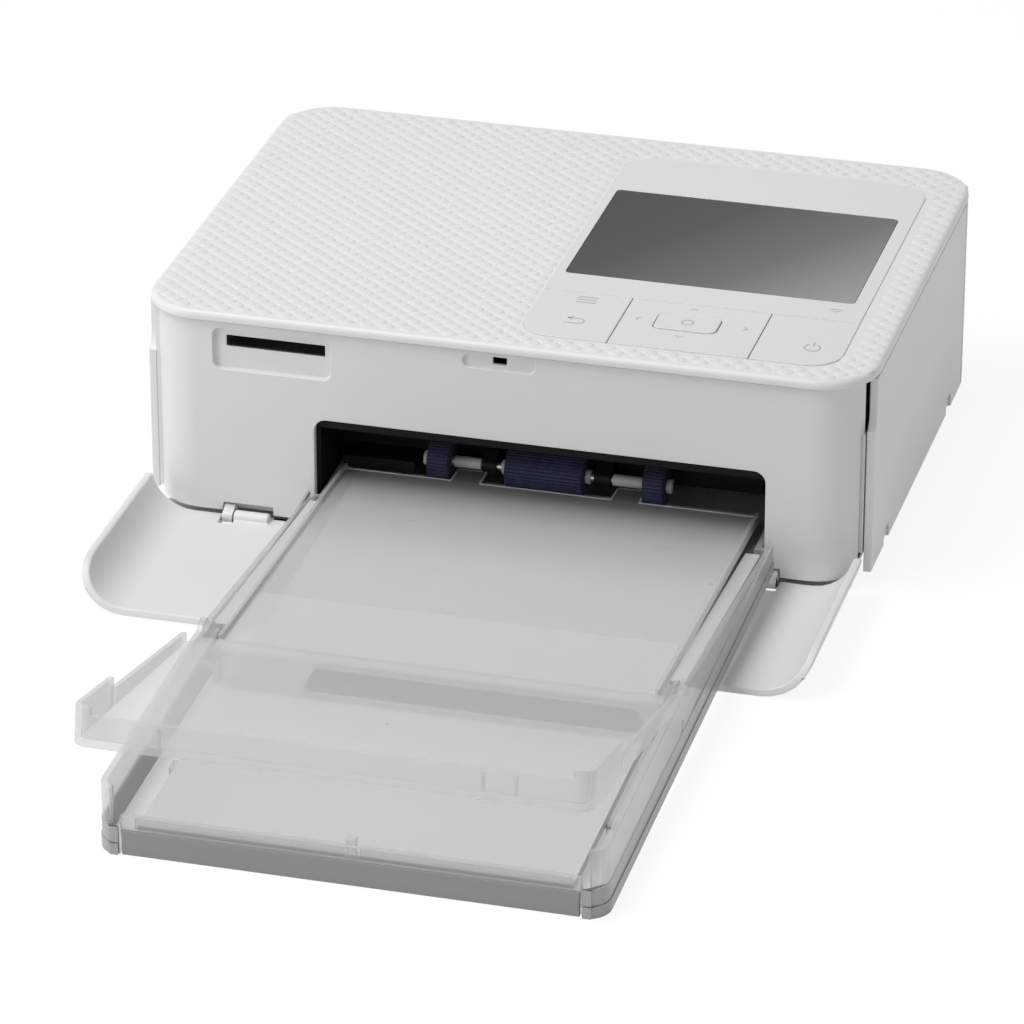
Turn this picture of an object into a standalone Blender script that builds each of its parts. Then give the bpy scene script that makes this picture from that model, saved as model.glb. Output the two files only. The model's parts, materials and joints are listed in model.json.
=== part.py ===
"""A compact photo printer with its drop-down door open and its paper cassette in place.

Lengths are in metres. The printer's front is at -Y and its top at +Z. The pieces are
modelled in the printer's own frame, with the body centred on X and the table at zero,
and the root empty then moves the origin to the middle of the whole footprint.
"""
import math

import bmesh
import bpy
from mathutils import Matrix, Vector

# Body
BODY_WIDTH = 0.1822
BODY_DEPTH = 0.133
BODY_CORNER = 0.0142
BODY_TOP = 0.0573
BODY_BOTTOM = 0.0032
WALL = 0.002
GAP = 0.0003
CUT = 0.002

# Top cover and operation panel
LIP_HEIGHT = 0.0028
TOP_EDGE = 0.001
PANEL_LEFT = 0.0025
PANEL_RIGHT = 0.0815
PANEL_FRONT = -0.0585
PANEL_BACK = 0.053
PANEL_CORNER = 0.008
PANEL_THICK = 0.0016
KEYS_BACK = -0.032
KEY_SLIT = 0.00025
KEY_REAR_SLIT = 0.00014
MENU_KEY_RIGHT = 0.025
POWER_KEY_LEFT = 0.0598
OK_LEFT = 0.0335
OK_RIGHT = 0.049
OK_FRONT = -0.0475
OK_BACK = -0.0385
OK_CORNER = 0.0018
OK_HEIGHT = 0.0002
SCREEN_LEFT = 0.005
SCREEN_RIGHT = 0.0778
SCREEN_FRONT = -0.0215
SCREEN_BACK = 0.0315
SCREEN_CORNER = 0.0012
WINDOW_THICK = 0.001
WINDOW_SINK = 0.0001
MODULE_RIM = 0.001
MODULE_FLANGE = 0.0013
MODULE_FLANGE_WIDTH = 0.002
BOARD_THICK = 0.0016
POST_RADIUS = 0.002
POST_INSET = 0.003
MAIN_BOARD_DROP = 0.001
MAIN_BOARD_LEFT = -0.084
MAIN_BOARD_RIGHT = -0.002
MAIN_BOARD_FRONT = -0.048
MAIN_BOARD_BACK = 0.058
CHIP_SIDE = 0.014
CHIP_HEIGHT = 0.0007
KEY_BOARD_DROP = 0.0024
KEY_BOARD_LEFT = 0.006
KEY_BOARD_RIGHT = 0.078
KEY_BOARD_FRONT = -0.062
KEY_BOARD_BACK = -0.028
SWITCH_RADIUS = 0.0018
SWITCH_PLAY = 0.0009

# Front shell
SHELL_FRONT_RECESS = 0.001
SHELL_SIDE_RECESS = 0.0021
SHELL_CORNER = 0.0122
SHELL_BACK = -0.0566
SHELL_LAP_BACK = -0.058
LAP_TOP = 0.04
MOUTH_LEFT = -0.0465
MOUTH_RIGHT = 0.0663
MOUTH_TOP = 0.0309
MOUTH_CORNER = 0.003
HINGE_NOTCH_INNER = 0.0575
HINGE_NOTCH_TOP = 0.0054
CARD_RECESS_LEFT = -0.072
CARD_RECESS_RIGHT = -0.0422
CARD_RECESS_BOTTOM = 0.0417
CARD_RECESS_TOP = 0.0526
CARD_RECESS_CORNER = 0.002
CARD_RECESS_DEPTH = 0.0014
CARD_SLOT_LEFT = -0.0689
CARD_SLOT_RIGHT = -0.0439
CARD_SLOT_BOTTOM = 0.0474
CARD_SLOT_TOP = 0.0503
SOCKET_WALL = 0.0009
SOCKET_DEPTH = 0.0252
LATCH_LEFT = -0.0089
LATCH_RIGHT = 0.0092
LATCH_BOTTOM = 0.0498
LATCH_TOP = 0.0532
LATCH_CORNER = 0.0016
LATCH_DEPTH = 0.0009
LATCH_HOLE_LEFT = -0.0016
LATCH_HOLE_RIGHT = 0.0019
LATCH_HOLE_SILL = 0.0011

# Side and rear shell
SIDE_FRONT = -0.0577
SIDE_FRONT_HIGH = -0.0555
SIDE_STEP_TOP = 0.045
SIDE_STEP_RADIUS = 0.005
SIDE_BOTTOM = 0.0036
REAR_SLOT_LEFT = -0.044
REAR_SLOT_RIGHT = 0.066
REAR_SLOT_BOTTOM = 0.0135
REAR_SLOT_TOP = 0.0205
VENT_COUNT = 7
VENT_WIDTH = 0.003
VENT_PITCH = 0.0065
VENT_BOTTOM = 0.032
VENT_TOP = 0.046
VENT_START = 0.014
INLET_LEFT = -0.073
INLET_RIGHT = -0.062
INLET_TOP = 0.017
INLET_DEPTH = 0.012
INLET_BORE = 0.003
USB_LEFT = -0.0585
USB_RIGHT = -0.0495
USB_TOP = 0.0115
USB_DEPTH = 0.01
USB_MOUTH_WIDTH = 0.0076
USB_MOUTH_HEIGHT = 0.0032

# Ink cover on the right side
COVER_BACK = 0.0515
COVER_AXIS_X = 0.0895
COVER_AXIS_Z = 0.0052
COVER_KNUCKLE = 0.0015
COVER_KNUCKLE_LENGTH = 0.006
COVER_PIN = 0.0006
COVER_LUG = 0.0013
COVER_LUG_LENGTH = 0.005
COVER_LUG_PLACES = (-0.04, 0.036)
COVER_NOTCH_TOP = 0.0074

# Bottom case
FLOOR_THICK = 0.0016
FLOOR_RIGHT = 0.087
RIM_HEIGHT = 0.0045
RIM_THICK = 0.0015
FOOT_RADIUS = 0.006
FOOT_STEM = 0.0018
FOOT_X = 0.07
FOOT_FRONT = -0.046
FOOT_BACK = 0.05
FOOT_DROP = 0.0002

# Front door
DOOR_BOTTOM = 0.0002
DOOR_THICK = 0.002
DOOR_RIM = 0.011
DOOR_HALF_WIDTH = 0.0906
DOOR_WING = 0.0125
DOOR_BACK = -0.065
DOOR_FRONT = -0.1203
DOOR_FILLET = 0.011
DOOR_AXIS_Y = -0.0668
DOOR_AXIS_Z = 0.0024
DOOR_KNUCKLE = 0.0018
DOOR_KNUCKLE_INNER = 0.058
DOOR_KNUCKLE_OUTER = 0.0669
DOOR_STUB = 0.0009
DOOR_LUG_OUTER = 0.0699
DOOR_LUG = 0.0015

# Paper mouth liner and pick-up rollers
LINER_LEFT = -0.049
LINER_RIGHT = 0.0695
LINER_INNER_LEFT = -0.0456
LINER_INNER_RIGHT = 0.0664
LINER_TOP = 0.0332
LINER_CEILING = 0.0278
LINER_BACK = -0.0448
PICKUP_Y = -0.05
PICKUP_Z = 0.01645
PICKUP_RADIUS = 0.005
PICKUP_SHAFT = 0.0011
PICKUP_SHAFT_LEFT = -0.0225
PICKUP_SHAFT_RIGHT = 0.04
PICKUP_LEFT = -0.0016
PICKUP_RIGHT = 0.0179
SMALL_ROLLERS = {"paper_roller_left": (-0.0213, -0.0158), "paper_roller_right": (0.0331, 0.0383)}
ROLLER_RIBS = 20
RIB_DEPTH = 0.0004
ROLLER_FIT = 0.0002
HOLDER_BACK = -0.0419
HOLDER_THICK = 0.002
HOLDER_BOTTOM = 0.014
HOLDER_TOP = 0.027
HOLDER_ARMS = ((-0.0081, -0.0043), (0.0203, 0.0246))
ARM_RADIUS = 0.00185
ARM_ROOT_TOP = 0.0245
GUIDE_LEFT = -0.0433
GUIDE_RIGHT = -0.025
GUIDE_BOTTOM = 0.0126
GUIDE_TOP = 0.0156
GUIDE_FRONT = -0.052

# Side frames
FRAME_THICK = 0.0015
LEFT_FRAME_X = -0.0497
RIGHT_FRAME_X = 0.071
FRAME_FRONT = -0.044
FRAME_BACK = 0.05
FRAME_TOP = 0.0485
FRAME_NOSE_TOP = 0.038
FRAME_NOSE = 0.008
FRAME_FOOT = 0.005
FRAME_FOOT_THICK = 0.0012
FRAME_FOOT_FRONT = 0.022
CROSS_BAR_BOTTOM = 0.024
CROSS_BAR_TOP = 0.034
CROSS_BAR_BACK = 0.048
CROSS_BAR_THICK = 0.002

# Paper feed behind the mouth
PAPER_LEFT = -0.04
PAPER_RIGHT = 0.06
FEED_Y = -0.026
FEED_Z = 0.013
FEED_RADIUS = 0.004
FEED_SHAFT = 0.0014
PINCH_RADIUS = 0.003
PINCH_SHAFT = 0.0012
PLATEN_Y = 0.013
PLATEN_Z = 0.0115
PLATEN_RADIUS = 0.0055
PLATEN_SHAFT = 0.0016
PLATEN_MARGIN = 0.002
SHAFT_OVERHANG = 0.0015
BUSH_WALL = 0.0012
BUSH_OVERHANG = 0.0004
BORE_FIT = 0.0002

# Gear train on the left frame
GEAR_WIDTH = 0.004
GEAR_FACE_GAP = 0.0018
ROLLER_TEETH = 18
IDLER_TEETH = 50
PINION_TEETH = 12
IDLER_RISE = 0.00963
PINION_ANGLE = math.radians(146)
ADDENDUM_SHARE = 0.85
DEDENDUM_SHARE = 1.15
ROOT_TOOTH_SHARE = 0.62
TIP_TOOTH_SHARE = 0.2
STUD_RADIUS = 0.0017
MOTOR_RADIUS = 0.009
MOTOR_LENGTH = 0.0245
MOTOR_SHAFT = 0.0008
MOTOR_COLLAR = 0.003
MOTOR_COLLAR_LENGTH = 0.0009
BRACKET_THICK = 0.0012
BRACKET_FRONT = -0.036
BRACKET_BACK = -0.0095
BRACKET_BOTTOM = 0.022
BRACKET_TOP = 0.047
BRACKET_POST = 0.002
BRACKET_GEAR_GAP = 0.0008

# Thermal head
HEAD_WIDTH = 0.01
HEAD_CONTACT_WIDTH = 0.006
HEAD_HEIGHT = 0.0029
HEAD_CHAMFER = 0.001
HEAD_MARGIN = 0.001
FILM_THICK = 0.0002
FILM_GAP = 0.00015
FILM_MARGIN = 0.002
HEAD_PLAY = 0.0001
SINK_WIDTH = 0.009
SINK_BASE = 0.003
SINK_HEIGHT = 0.0112
SINK_FINS = 4
SINK_FIN_SHARE = 0.5
SINK_TAB_WIDTH = 0.006
SINK_TAB_BOTTOM = 0.0022
SINK_TAB_HEIGHT = 0.005
HEAD_TRAVEL = 0.0014

# Ink cassette
INK_LEFT = -0.046
INK_RIGHT = 0.078
INK_END_LEFT = 0.0025
INK_END_RIGHT = 0.0035
BARREL_RADIUS = 0.011
BARREL_WALL = 0.0014
BARREL_Z = 0.034
BARREL_SPREAD = 0.019
BARREL_SLOT = math.radians(18)
BARREL_SLOT_ANGLE = math.radians(-57)
INK_ARCH = 0.0075
INK_ARCH_TOP = 0.0337
JOURNAL = 0.002
FLANGE_RADIUS = 0.0088
FLANGE_THICK = 0.0007
SUPPLY_ROLL = 0.008
TAKE_UP_ROLL = 0.006
WINDOW_MARGIN = 0.0012
SPOOL_OVERHANG = 0.0012

# Eject lever
LEVER_Y = 0.0465
LEVER_Z = 0.0135
LEVER_LENGTH = 0.0262
LEVER_LEAN = 0.0035
LEVER_RADIUS = 0.0022
LEVER_THICK = 0.002
LEVER_STUD = 0.0011

# Paper cassette, in a frame that is tilted with the cassette
CASSETTE_X = 0.0105
CASSETTE_BACK = -0.045
CASSETTE_RISE = 0.00585
TRAY_LENGTH = 0.184
TRAY_HALF = 0.0582
TRAY_TONGUE_HALF = 0.0555
TRAY_TONGUE = 0.0215
TRAY_CORNER = 0.005
TRAY_FLOOR = 0.0014
TRAY_WALL = 0.0016
TRAY_LOW = 0.0063
TRAY_HIGH = 0.0167
TRAY_HIGH_FROM = 0.112
TRAY_FRONT_WALL = 0.0098
STRIP_HALF = 0.05285
STRIP_HEIGHT = 0.0065
STRIP_THICK = 0.0009
SLOT_WIDTH = 0.0019
LID_PIVOT_Y = -0.108
LID_PIVOT_Z = 0.0154
INNER_PIVOT_Y = -0.113
INNER_PIVOT_Z = 0.009
PEG_RADIUS = 0.001
PEG_FIT = 0.0003
EAR_RADIUS = 0.0027
INNER_HALF = 0.0525
INNER_BACK = -0.0105
INNER_FRONT = -0.117
INNER_BACK_TOP = 0.0085
INNER_FRONT_TOP = 0.0159
INNER_THICK = 0.0012
INNER_RIM = 0.0013
INNER_RIM_START = 0.005
INNER_WALL_BOTTOM = 0.0062
INNER_WINDOW_LEFT = -0.0305
INNER_WINDOW_RIGHT = 0.0495
INNER_WINDOW_BOTTOM = 0.0072
INNER_WINDOW_TOP = 0.0139
INNER_WINDOW_CORNER = 0.002
INNER_TABS = ((-0.022, -0.0179), (0.0189, 0.0223))
TAB_BACK = -0.003
CHEEK_LENGTH = 0.005
OUTPUT_RISE = math.radians(12.7)
OUTPUT_HALF = 0.0587
OUTPUT_LENGTH = 0.0915
OUTPUT_THICK = 0.0014
OUTPUT_WIDE_FROM = 0.0125
OUTPUT_FLOOR_FROM = 0.008
OUTPUT_EAR_OUTER = 0.0562
OUTPUT_EAR_THICK = 0.0013
OUTPUT_EAR_RADIUS = 0.0022
OUTPUT_EAR_LENGTH = 0.009
OUTPUT_CORNER = 0.004
OUTPUT_WALL_START = 0.0024
OUTPUT_WALL_END = 0.0047
OUTPUT_LIP = 0.0067
OUTPUT_CORNER_TOP = 0.0086
OUTPUT_SLIT_TOP = 0.0076
OUTPUT_SLIT_AT = 0.0645
OUTPUT_SLIT = 0.0008
OUTPUT_CORNER_PIECE = 0.0045
PAPER_HALF = 0.05
PAPER_BACK = -0.004
PAPER_FRONT = -0.18
PAPER_BOTTOM = 0.0033
PAPER_TOP = 0.0055
PLATE_HALF = 0.0485
PLATE_FRONT = -0.15
PLATE_BOTTOM = 0.0023
PLATE_THICK = 0.0007
PLATE_PEG = 0.0005
PLATE_LUG_THICK = 0.0017
PLATE_LUG_HEIGHT = 0.0026
PLATE_LUG_LENGTH = 0.004

# Size of the marks on the axes
MARKER_SIZE = 0.002

# Smoothness of round shapes
CORNER_STEPS = 6
ROUND_STEPS = 20
SMALL_STEPS = 12

# Values worked out from the sizes above
HALF_WIDTH = BODY_WIDTH / 2
HALF_DEPTH = BODY_DEPTH / 2
LIP_BOTTOM = BODY_TOP - LIP_HEIGHT
PANEL_BOTTOM = BODY_TOP - PANEL_THICK
POCKET_FLOOR = PANEL_BOTTOM - GAP
SHELL_FRONT = SHELL_FRONT_RECESS - HALF_DEPTH
SHELL_HALF = HALF_WIDTH - SHELL_SIDE_RECESS
SHELL_TOP = LIP_BOTTOM - GAP
FLOOR_TOP = BODY_BOTTOM + FLOOR_THICK
DOOR_LUG_INNER = DOOR_KNUCKLE_OUTER + GAP
MAIN_BOARD_TOP = LIP_BOTTOM - MAIN_BOARD_DROP - GAP
KEY_BOARD_TOP = LIP_BOTTOM - KEY_BOARD_DROP
LEFT_FRAME_OUT = LEFT_FRAME_X - FRAME_THICK
RIGHT_FRAME_OUT = RIGHT_FRAME_X + FRAME_THICK
FRAME_BOTTOM = FLOOR_TOP + GAP
PAPER_LEVEL = PLATEN_Z + PLATEN_RADIUS
FILM_BOTTOM = PAPER_LEVEL + FILM_GAP
HEAD_BOTTOM = FILM_BOTTOM + FILM_THICK + FILM_GAP + HEAD_PLAY
HEAD_TOP = HEAD_BOTTOM + HEAD_HEIGHT
SINK_BOTTOM = HEAD_TOP + GAP
PINCH_Z = FEED_Z + FEED_RADIUS + PINCH_RADIUS + GAP
GEAR_RIGHT = LEFT_FRAME_OUT - GEAR_FACE_GAP
GEAR_LEFT = GEAR_RIGHT - GEAR_WIDTH
SUPPLY_Y = PLATEN_Y - BARREL_SPREAD
TAKE_UP_Y = PLATEN_Y + BARREL_SPREAD
HALF_TURN = math.pi
QUARTER_TURN = math.pi / 2


def clear_scene():
    """Remove whatever the file holds."""
    for thing in list(bpy.data.objects):
        bpy.data.objects.remove(thing)


def arc(centre, radius, start, end, steps=CORNER_STEPS):
    """Points on a circle from one angle to another, both ends included."""
    points = []
    for index in range(steps + 1):
        angle = start + (end - start) * index / steps
        points.append((centre[0] + radius * math.cos(angle), centre[1] + radius * math.sin(angle)))
    return points


def circle(centre, radius, steps=ROUND_STEPS):
    """Points all round a circle."""
    return arc(centre, radius, 0, 2 * HALF_TURN, steps)[:-1]


def rounded(x, y, radius, steps=CORNER_STEPS):
    """A rectangle with round corners, anticlockwise."""
    points = []
    corners = ((x[1], y[0], -1, 1), (x[1], y[1], -1, -1), (x[0], y[1], 1, -1), (x[0], y[0], 1, 1))
    for index, (corner_x, corner_y, side_x, side_y) in enumerate(corners):
        centre = (corner_x + side_x * radius, corner_y + side_y * radius)
        start = (index - 1) * QUARTER_TURN
        points += arc(centre, radius, start, start + QUARTER_TURN, steps)
    return points


def place(axis, along, first, second):
    """A point from its distance along an axis and its two other coordinates."""
    if axis == "X":
        return (along, first, second)
    if axis == "Y":
        return (first, along, second)
    return (first, second, along)


def new_object(mesh_builder):
    """Turn a finished bmesh into an object with outward faces."""
    bmesh.ops.remove_doubles(mesh_builder, verts=mesh_builder.verts, dist=GAP / 1000)
    bmesh.ops.recalc_face_normals(mesh_builder, faces=mesh_builder.faces)
    mesh = bpy.data.meshes.new("shape")
    mesh_builder.to_mesh(mesh)
    mesh_builder.free()
    thing = bpy.data.objects.new("shape", mesh)
    bpy.context.scene.collection.objects.link(thing)
    return thing


def loft(levels, axis="Z"):
    """A closed solid through outlines with equally many points, each at its own height."""
    builder = bmesh.new()
    rings = []
    for outline, height in levels:
        rings.append([builder.verts.new(place(axis, height, *point)) for point in outline])
    for lower, upper in zip(rings, rings[1:]):
        for index in range(len(lower)):
            after = (index + 1) % len(lower)
            builder.faces.new((lower[index], lower[after], upper[after], upper[index]))
    builder.faces.new(rings[0])
    builder.faces.new(rings[-1])
    return new_object(builder)


def prism(outline, axis, span):
    """An outline extruded along an axis."""
    return loft([(outline, span[0]), (outline, span[1])], axis)


def box(x, y, z):
    """A plain block between two limits on each axis."""
    outline = [(x[0], y[0]), (x[1], y[0]), (x[1], y[1]), (x[0], y[1])]
    return prism(outline, "Z", z)


def rod(centre, radius, axis, span, steps=SMALL_STEPS):
    """A round bar along an axis; the centre is given by its two other coordinates."""
    return prism(circle(centre, radius, steps), axis, span)


def turned(profile, axis, centre, steps=ROUND_STEPS):
    """A solid of revolution from (distance along the axis, radius) pairs."""
    builder = bmesh.new()
    rings = []
    for along, radius in profile:
        if radius == 0:
            rings.append([builder.verts.new(place(axis, along, *centre))])
        else:
            outline = circle(centre, radius, steps)
            rings.append([builder.verts.new(place(axis, along, *point)) for point in outline])
    for first, second in zip(rings, rings[1:]):
        for index in range(steps):
            after = (index + 1) % steps
            if len(first) == 1:
                builder.faces.new((first[0], second[index], second[after]))
            elif len(second) == 1:
                builder.faces.new((first[index], first[after], second[0]))
            else:
                builder.faces.new((first[index], first[after], second[after], second[index]))
    return new_object(builder)


def combine(body, other, operation):
    """Apply one Boolean to a body and delete the other object."""
    step = body.modifiers.new("combine", "BOOLEAN")
    step.operation = operation
    step.solver = "EXACT"
    step.object = other
    graph = bpy.context.evaluated_depsgraph_get()
    result = bpy.data.meshes.new_from_object(body.evaluated_get(graph))
    body.modifiers.clear()
    body.data = result
    bpy.data.objects.remove(other)
    return body


def cut(body, *cutters):
    """Take each cutter away from a body."""
    for cutter in cutters:
        combine(body, cutter, "DIFFERENCE")
    return body


def add(body, *others):
    """Fuse each of the others to a body."""
    for other in others:
        combine(body, other, "UNION")
    return body


def overlap(body, other):
    """Keep what a body shares with another."""
    return combine(body, other, "INTERSECT")


def material(name, colour, roughness, metallic=0.0):
    """A plain Principled material, made once for each name."""
    made = bpy.data.materials.get(name)
    if made is None:
        made = bpy.data.materials.new(name)
        made.use_nodes = True
        shader = made.node_tree.nodes["Principled BSDF"]
        shader.inputs["Base Color"].default_value = (*colour, 1.0)
        shader.inputs["Roughness"].default_value = roughness
        shader.inputs["Metallic"].default_value = metallic
        made.diffuse_color = (*colour, 1.0)
    return made


FINISHES = {
    "white_shell": ((0.80, 0.80, 0.80), 0.42, 0.0),
    "textured_top": ((0.84, 0.84, 0.84), 0.38, 0.0),
    "panel_white": ((0.84, 0.84, 0.85), 0.18, 0.0),
    "screen_glass": ((0.09, 0.09, 0.10), 0.08, 0.0),
    "screen_module": ((0.06, 0.06, 0.06), 0.5, 0.0),
    "board_green": ((0.03, 0.16, 0.07), 0.5, 0.0),
    "socket_metal": ((0.55, 0.55, 0.56), 0.35, 1.0),
    "black_plastic": ((0.018, 0.018, 0.019), 0.5, 0.0),
    "roller_rubber": ((0.03, 0.035, 0.075), 0.8, 0.0),
    "steel": ((0.62, 0.62, 0.63), 0.28, 1.0),
    "zinc_sheet": ((0.50, 0.51, 0.53), 0.42, 1.0),
    "gear_nylon": ((0.75, 0.75, 0.72), 0.5, 0.0),
    "motor_can": ((0.45, 0.45, 0.46), 0.35, 1.0),
    "heat_sink_alloy": ((0.66, 0.66, 0.68), 0.45, 1.0),
    "ceramic": ((0.70, 0.66, 0.60), 0.4, 0.0),
    "ink_case": ((0.10, 0.10, 0.11), 0.5, 0.0),
    "ink_film": ((0.45, 0.32, 0.06), 0.25, 0.0),
    "spool_white": ((0.72, 0.72, 0.70), 0.5, 0.0),
    "cassette_clear": ((0.70, 0.70, 0.71), 0.3, 0.0),
    "cassette_grey": ((0.27, 0.27, 0.28), 0.45, 0.0),
    "photo_paper": ((0.86, 0.86, 0.86), 0.35, 0.0),
    "foot_rubber": ((0.05, 0.05, 0.05), 0.85, 0.0),
    "bush_brass": ((0.55, 0.42, 0.18), 0.35, 1.0),
}


def pivot(name, location, parent, turn=0.0):
    """An empty on a joint's axis, or the frame of a group of pieces."""
    empty = bpy.data.objects.new(name, None)
    empty.empty_display_size = MARKER_SIZE
    empty.location = location
    empty.rotation_euler = (turn, 0, 0)
    empty.parent = parent
    bpy.context.scene.collection.objects.link(empty)
    return empty


def keep(piece, name, finish, carrier):
    """Name a finished piece, give it its material and hang it on its carrier.

    A carrier that is an axis holds pieces modelled in the frame of its own parent.
    """
    piece.name = name
    piece.data.name = name
    piece.data.materials.clear()
    piece.data.materials.append(material(finish, *FINISHES[finish]))
    piece.data.transform(Matrix.Translation(-Vector(carrier.location)))
    piece.data.shade_smooth()
    piece.data.set_sharp_from_angle(angle=QUARTER_TURN / 3)
    piece.parent = carrier
    return piece


def panel_outline(margin=0.0):
    """The operation panel's outline, grown by a margin."""
    x = (PANEL_LEFT - margin, PANEL_RIGHT + margin)
    y = (PANEL_FRONT - margin, PANEL_BACK + margin)
    return rounded(x, y, PANEL_CORNER + margin)


def screen_outline(margin=0.0):
    """The screen opening's outline, grown by a margin."""
    x = (SCREEN_LEFT - margin, SCREEN_RIGHT + margin)
    y = (SCREEN_FRONT - margin, SCREEN_BACK + margin)
    return rounded(x, y, SCREEN_CORNER, SMALL_STEPS // 4)


def body_outline(inset=0.0):
    """The body's plan outline, drawn in by an inset."""
    x = (inset - HALF_WIDTH, HALF_WIDTH - inset)
    y = (inset - HALF_DEPTH, HALF_DEPTH - inset)
    return rounded(x, y, BODY_CORNER - inset)


def board_posts(x, y, bottom):
    """Four posts that hang from the top cover and hold a board's corners."""
    posts = []
    for post_x in (x[0] + POST_INSET, x[1] - POST_INSET):
        for post_y in (y[0] + POST_INSET, y[1] - POST_INSET):
            span = (bottom + GAP, LIP_BOTTOM + GAP)
            posts.append(rod((post_x, post_y), POST_RADIUS, "Z", span))
    return posts


def make_top_cover(root):
    """The lid of the body: a plate with a rolled edge and the panel's pocket."""
    shoulder = TOP_EDGE * (1 - math.sin(QUARTER_TURN / 2))
    levels = [
        (body_outline(), LIP_BOTTOM),
        (body_outline(), BODY_TOP - TOP_EDGE),
        (body_outline(shoulder), BODY_TOP - shoulder),
        (body_outline(TOP_EDGE), BODY_TOP),
    ]
    cover = loft(levels)
    above = (POCKET_FLOOR, BODY_TOP + CUT)
    through = (LIP_BOTTOM - CUT, BODY_TOP + CUT)
    keys_x = (PANEL_LEFT - CUT, PANEL_RIGHT + CUT)
    keys_zone = box(keys_x, (PANEL_FRONT - CUT, KEYS_BACK - CUT), through)
    cut(cover, prism(panel_outline(GAP), "Z", above))
    cut(cover, overlap(prism(panel_outline(GAP), "Z", through), keys_zone))
    cut(cover, prism(screen_outline(GAP - MODULE_RIM), "Z", through))
    main_x = (MAIN_BOARD_LEFT, MAIN_BOARD_RIGHT)
    main_y = (MAIN_BOARD_FRONT, MAIN_BOARD_BACK)
    key_x = (KEY_BOARD_LEFT, KEY_BOARD_RIGHT)
    key_y = (KEY_BOARD_FRONT, KEY_BOARD_BACK)
    add(cover, *board_posts(main_x, main_y, MAIN_BOARD_TOP))
    add(cover, *board_posts(key_x, key_y, KEY_BOARD_TOP))
    keep(cover, "top_cover", "textured_top", root)


def panel_blank(x, y):
    """The part of the panel's plate that lies in a rectangle."""
    plate = prism(panel_outline(), "Z", (PANEL_BOTTOM, BODY_TOP))
    return overlap(plate, box(x, y, (PANEL_BOTTOM - CUT, BODY_TOP + CUT)))


def ok_outline(margin=0.0):
    """The centre key's outline, grown by a margin."""
    x = (OK_LEFT - margin, OK_RIGHT + margin)
    y = (OK_FRONT - margin, OK_BACK + margin)
    return rounded(x, y, OK_CORNER + margin, SMALL_STEPS // 3)


def make_operation_panel(root):
    """The glossy plate round the screen, and the three keys cut from its front."""
    far_left = PANEL_LEFT - CUT
    far_right = PANEL_RIGHT + CUT
    panel = panel_blank((far_left, far_right), (KEYS_BACK, PANEL_BACK + CUT))
    cut(panel, prism(screen_outline(), "Z", (PANEL_BOTTOM - CUT, BODY_TOP + CUT)))
    keep(panel, "operation_panel", "panel_white", root)

    key_y = (PANEL_FRONT - CUT, KEYS_BACK - KEY_REAR_SLIT)
    axis_place = (0, KEYS_BACK, BODY_TOP - PANEL_THICK / 2)
    spans = {
        "menu_key": (far_left, MENU_KEY_RIGHT - KEY_SLIT / 2),
        "navigation_key": (MENU_KEY_RIGHT + KEY_SLIT / 2, POWER_KEY_LEFT - KEY_SLIT / 2),
        "power_key": (POWER_KEY_LEFT + KEY_SLIT / 2, far_right),
    }
    for name, span in spans.items():
        key = panel_blank(span, key_y)
        if name == "navigation_key":
            cut(key, prism(ok_outline(KEY_SLIT), "Z", (PANEL_BOTTOM - CUT, BODY_TOP + CUT)))
        keep(key, name, "panel_white", pivot(name + "_axis", axis_place, root))

    centre = ((OK_LEFT + OK_RIGHT) / 2, (OK_FRONT + OK_BACK) / 2, BODY_TOP)
    button = prism(ok_outline(), "Z", (PANEL_BOTTOM, BODY_TOP + OK_HEIGHT))
    keep(button, "ok_key", "panel_white", pivot("ok_key_axis", centre, root))


def make_display(root):
    """The glass over the screen and the module below it."""
    top = BODY_TOP - WINDOW_SINK
    glass = prism(screen_outline(-KEY_SLIT / 2), "Z", (top - WINDOW_THICK, top))
    keep(glass, "display_window", "screen_glass", root)
    flange_top = LIP_BOTTOM - GAP
    module = prism(screen_outline(-MODULE_RIM), "Z", (flange_top - GAP, top - WINDOW_THICK - GAP))
    flange = prism(screen_outline(MODULE_FLANGE_WIDTH), "Z", (flange_top - MODULE_FLANGE, flange_top))
    keep(add(module, flange), "display_module", "screen_module", root)


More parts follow.
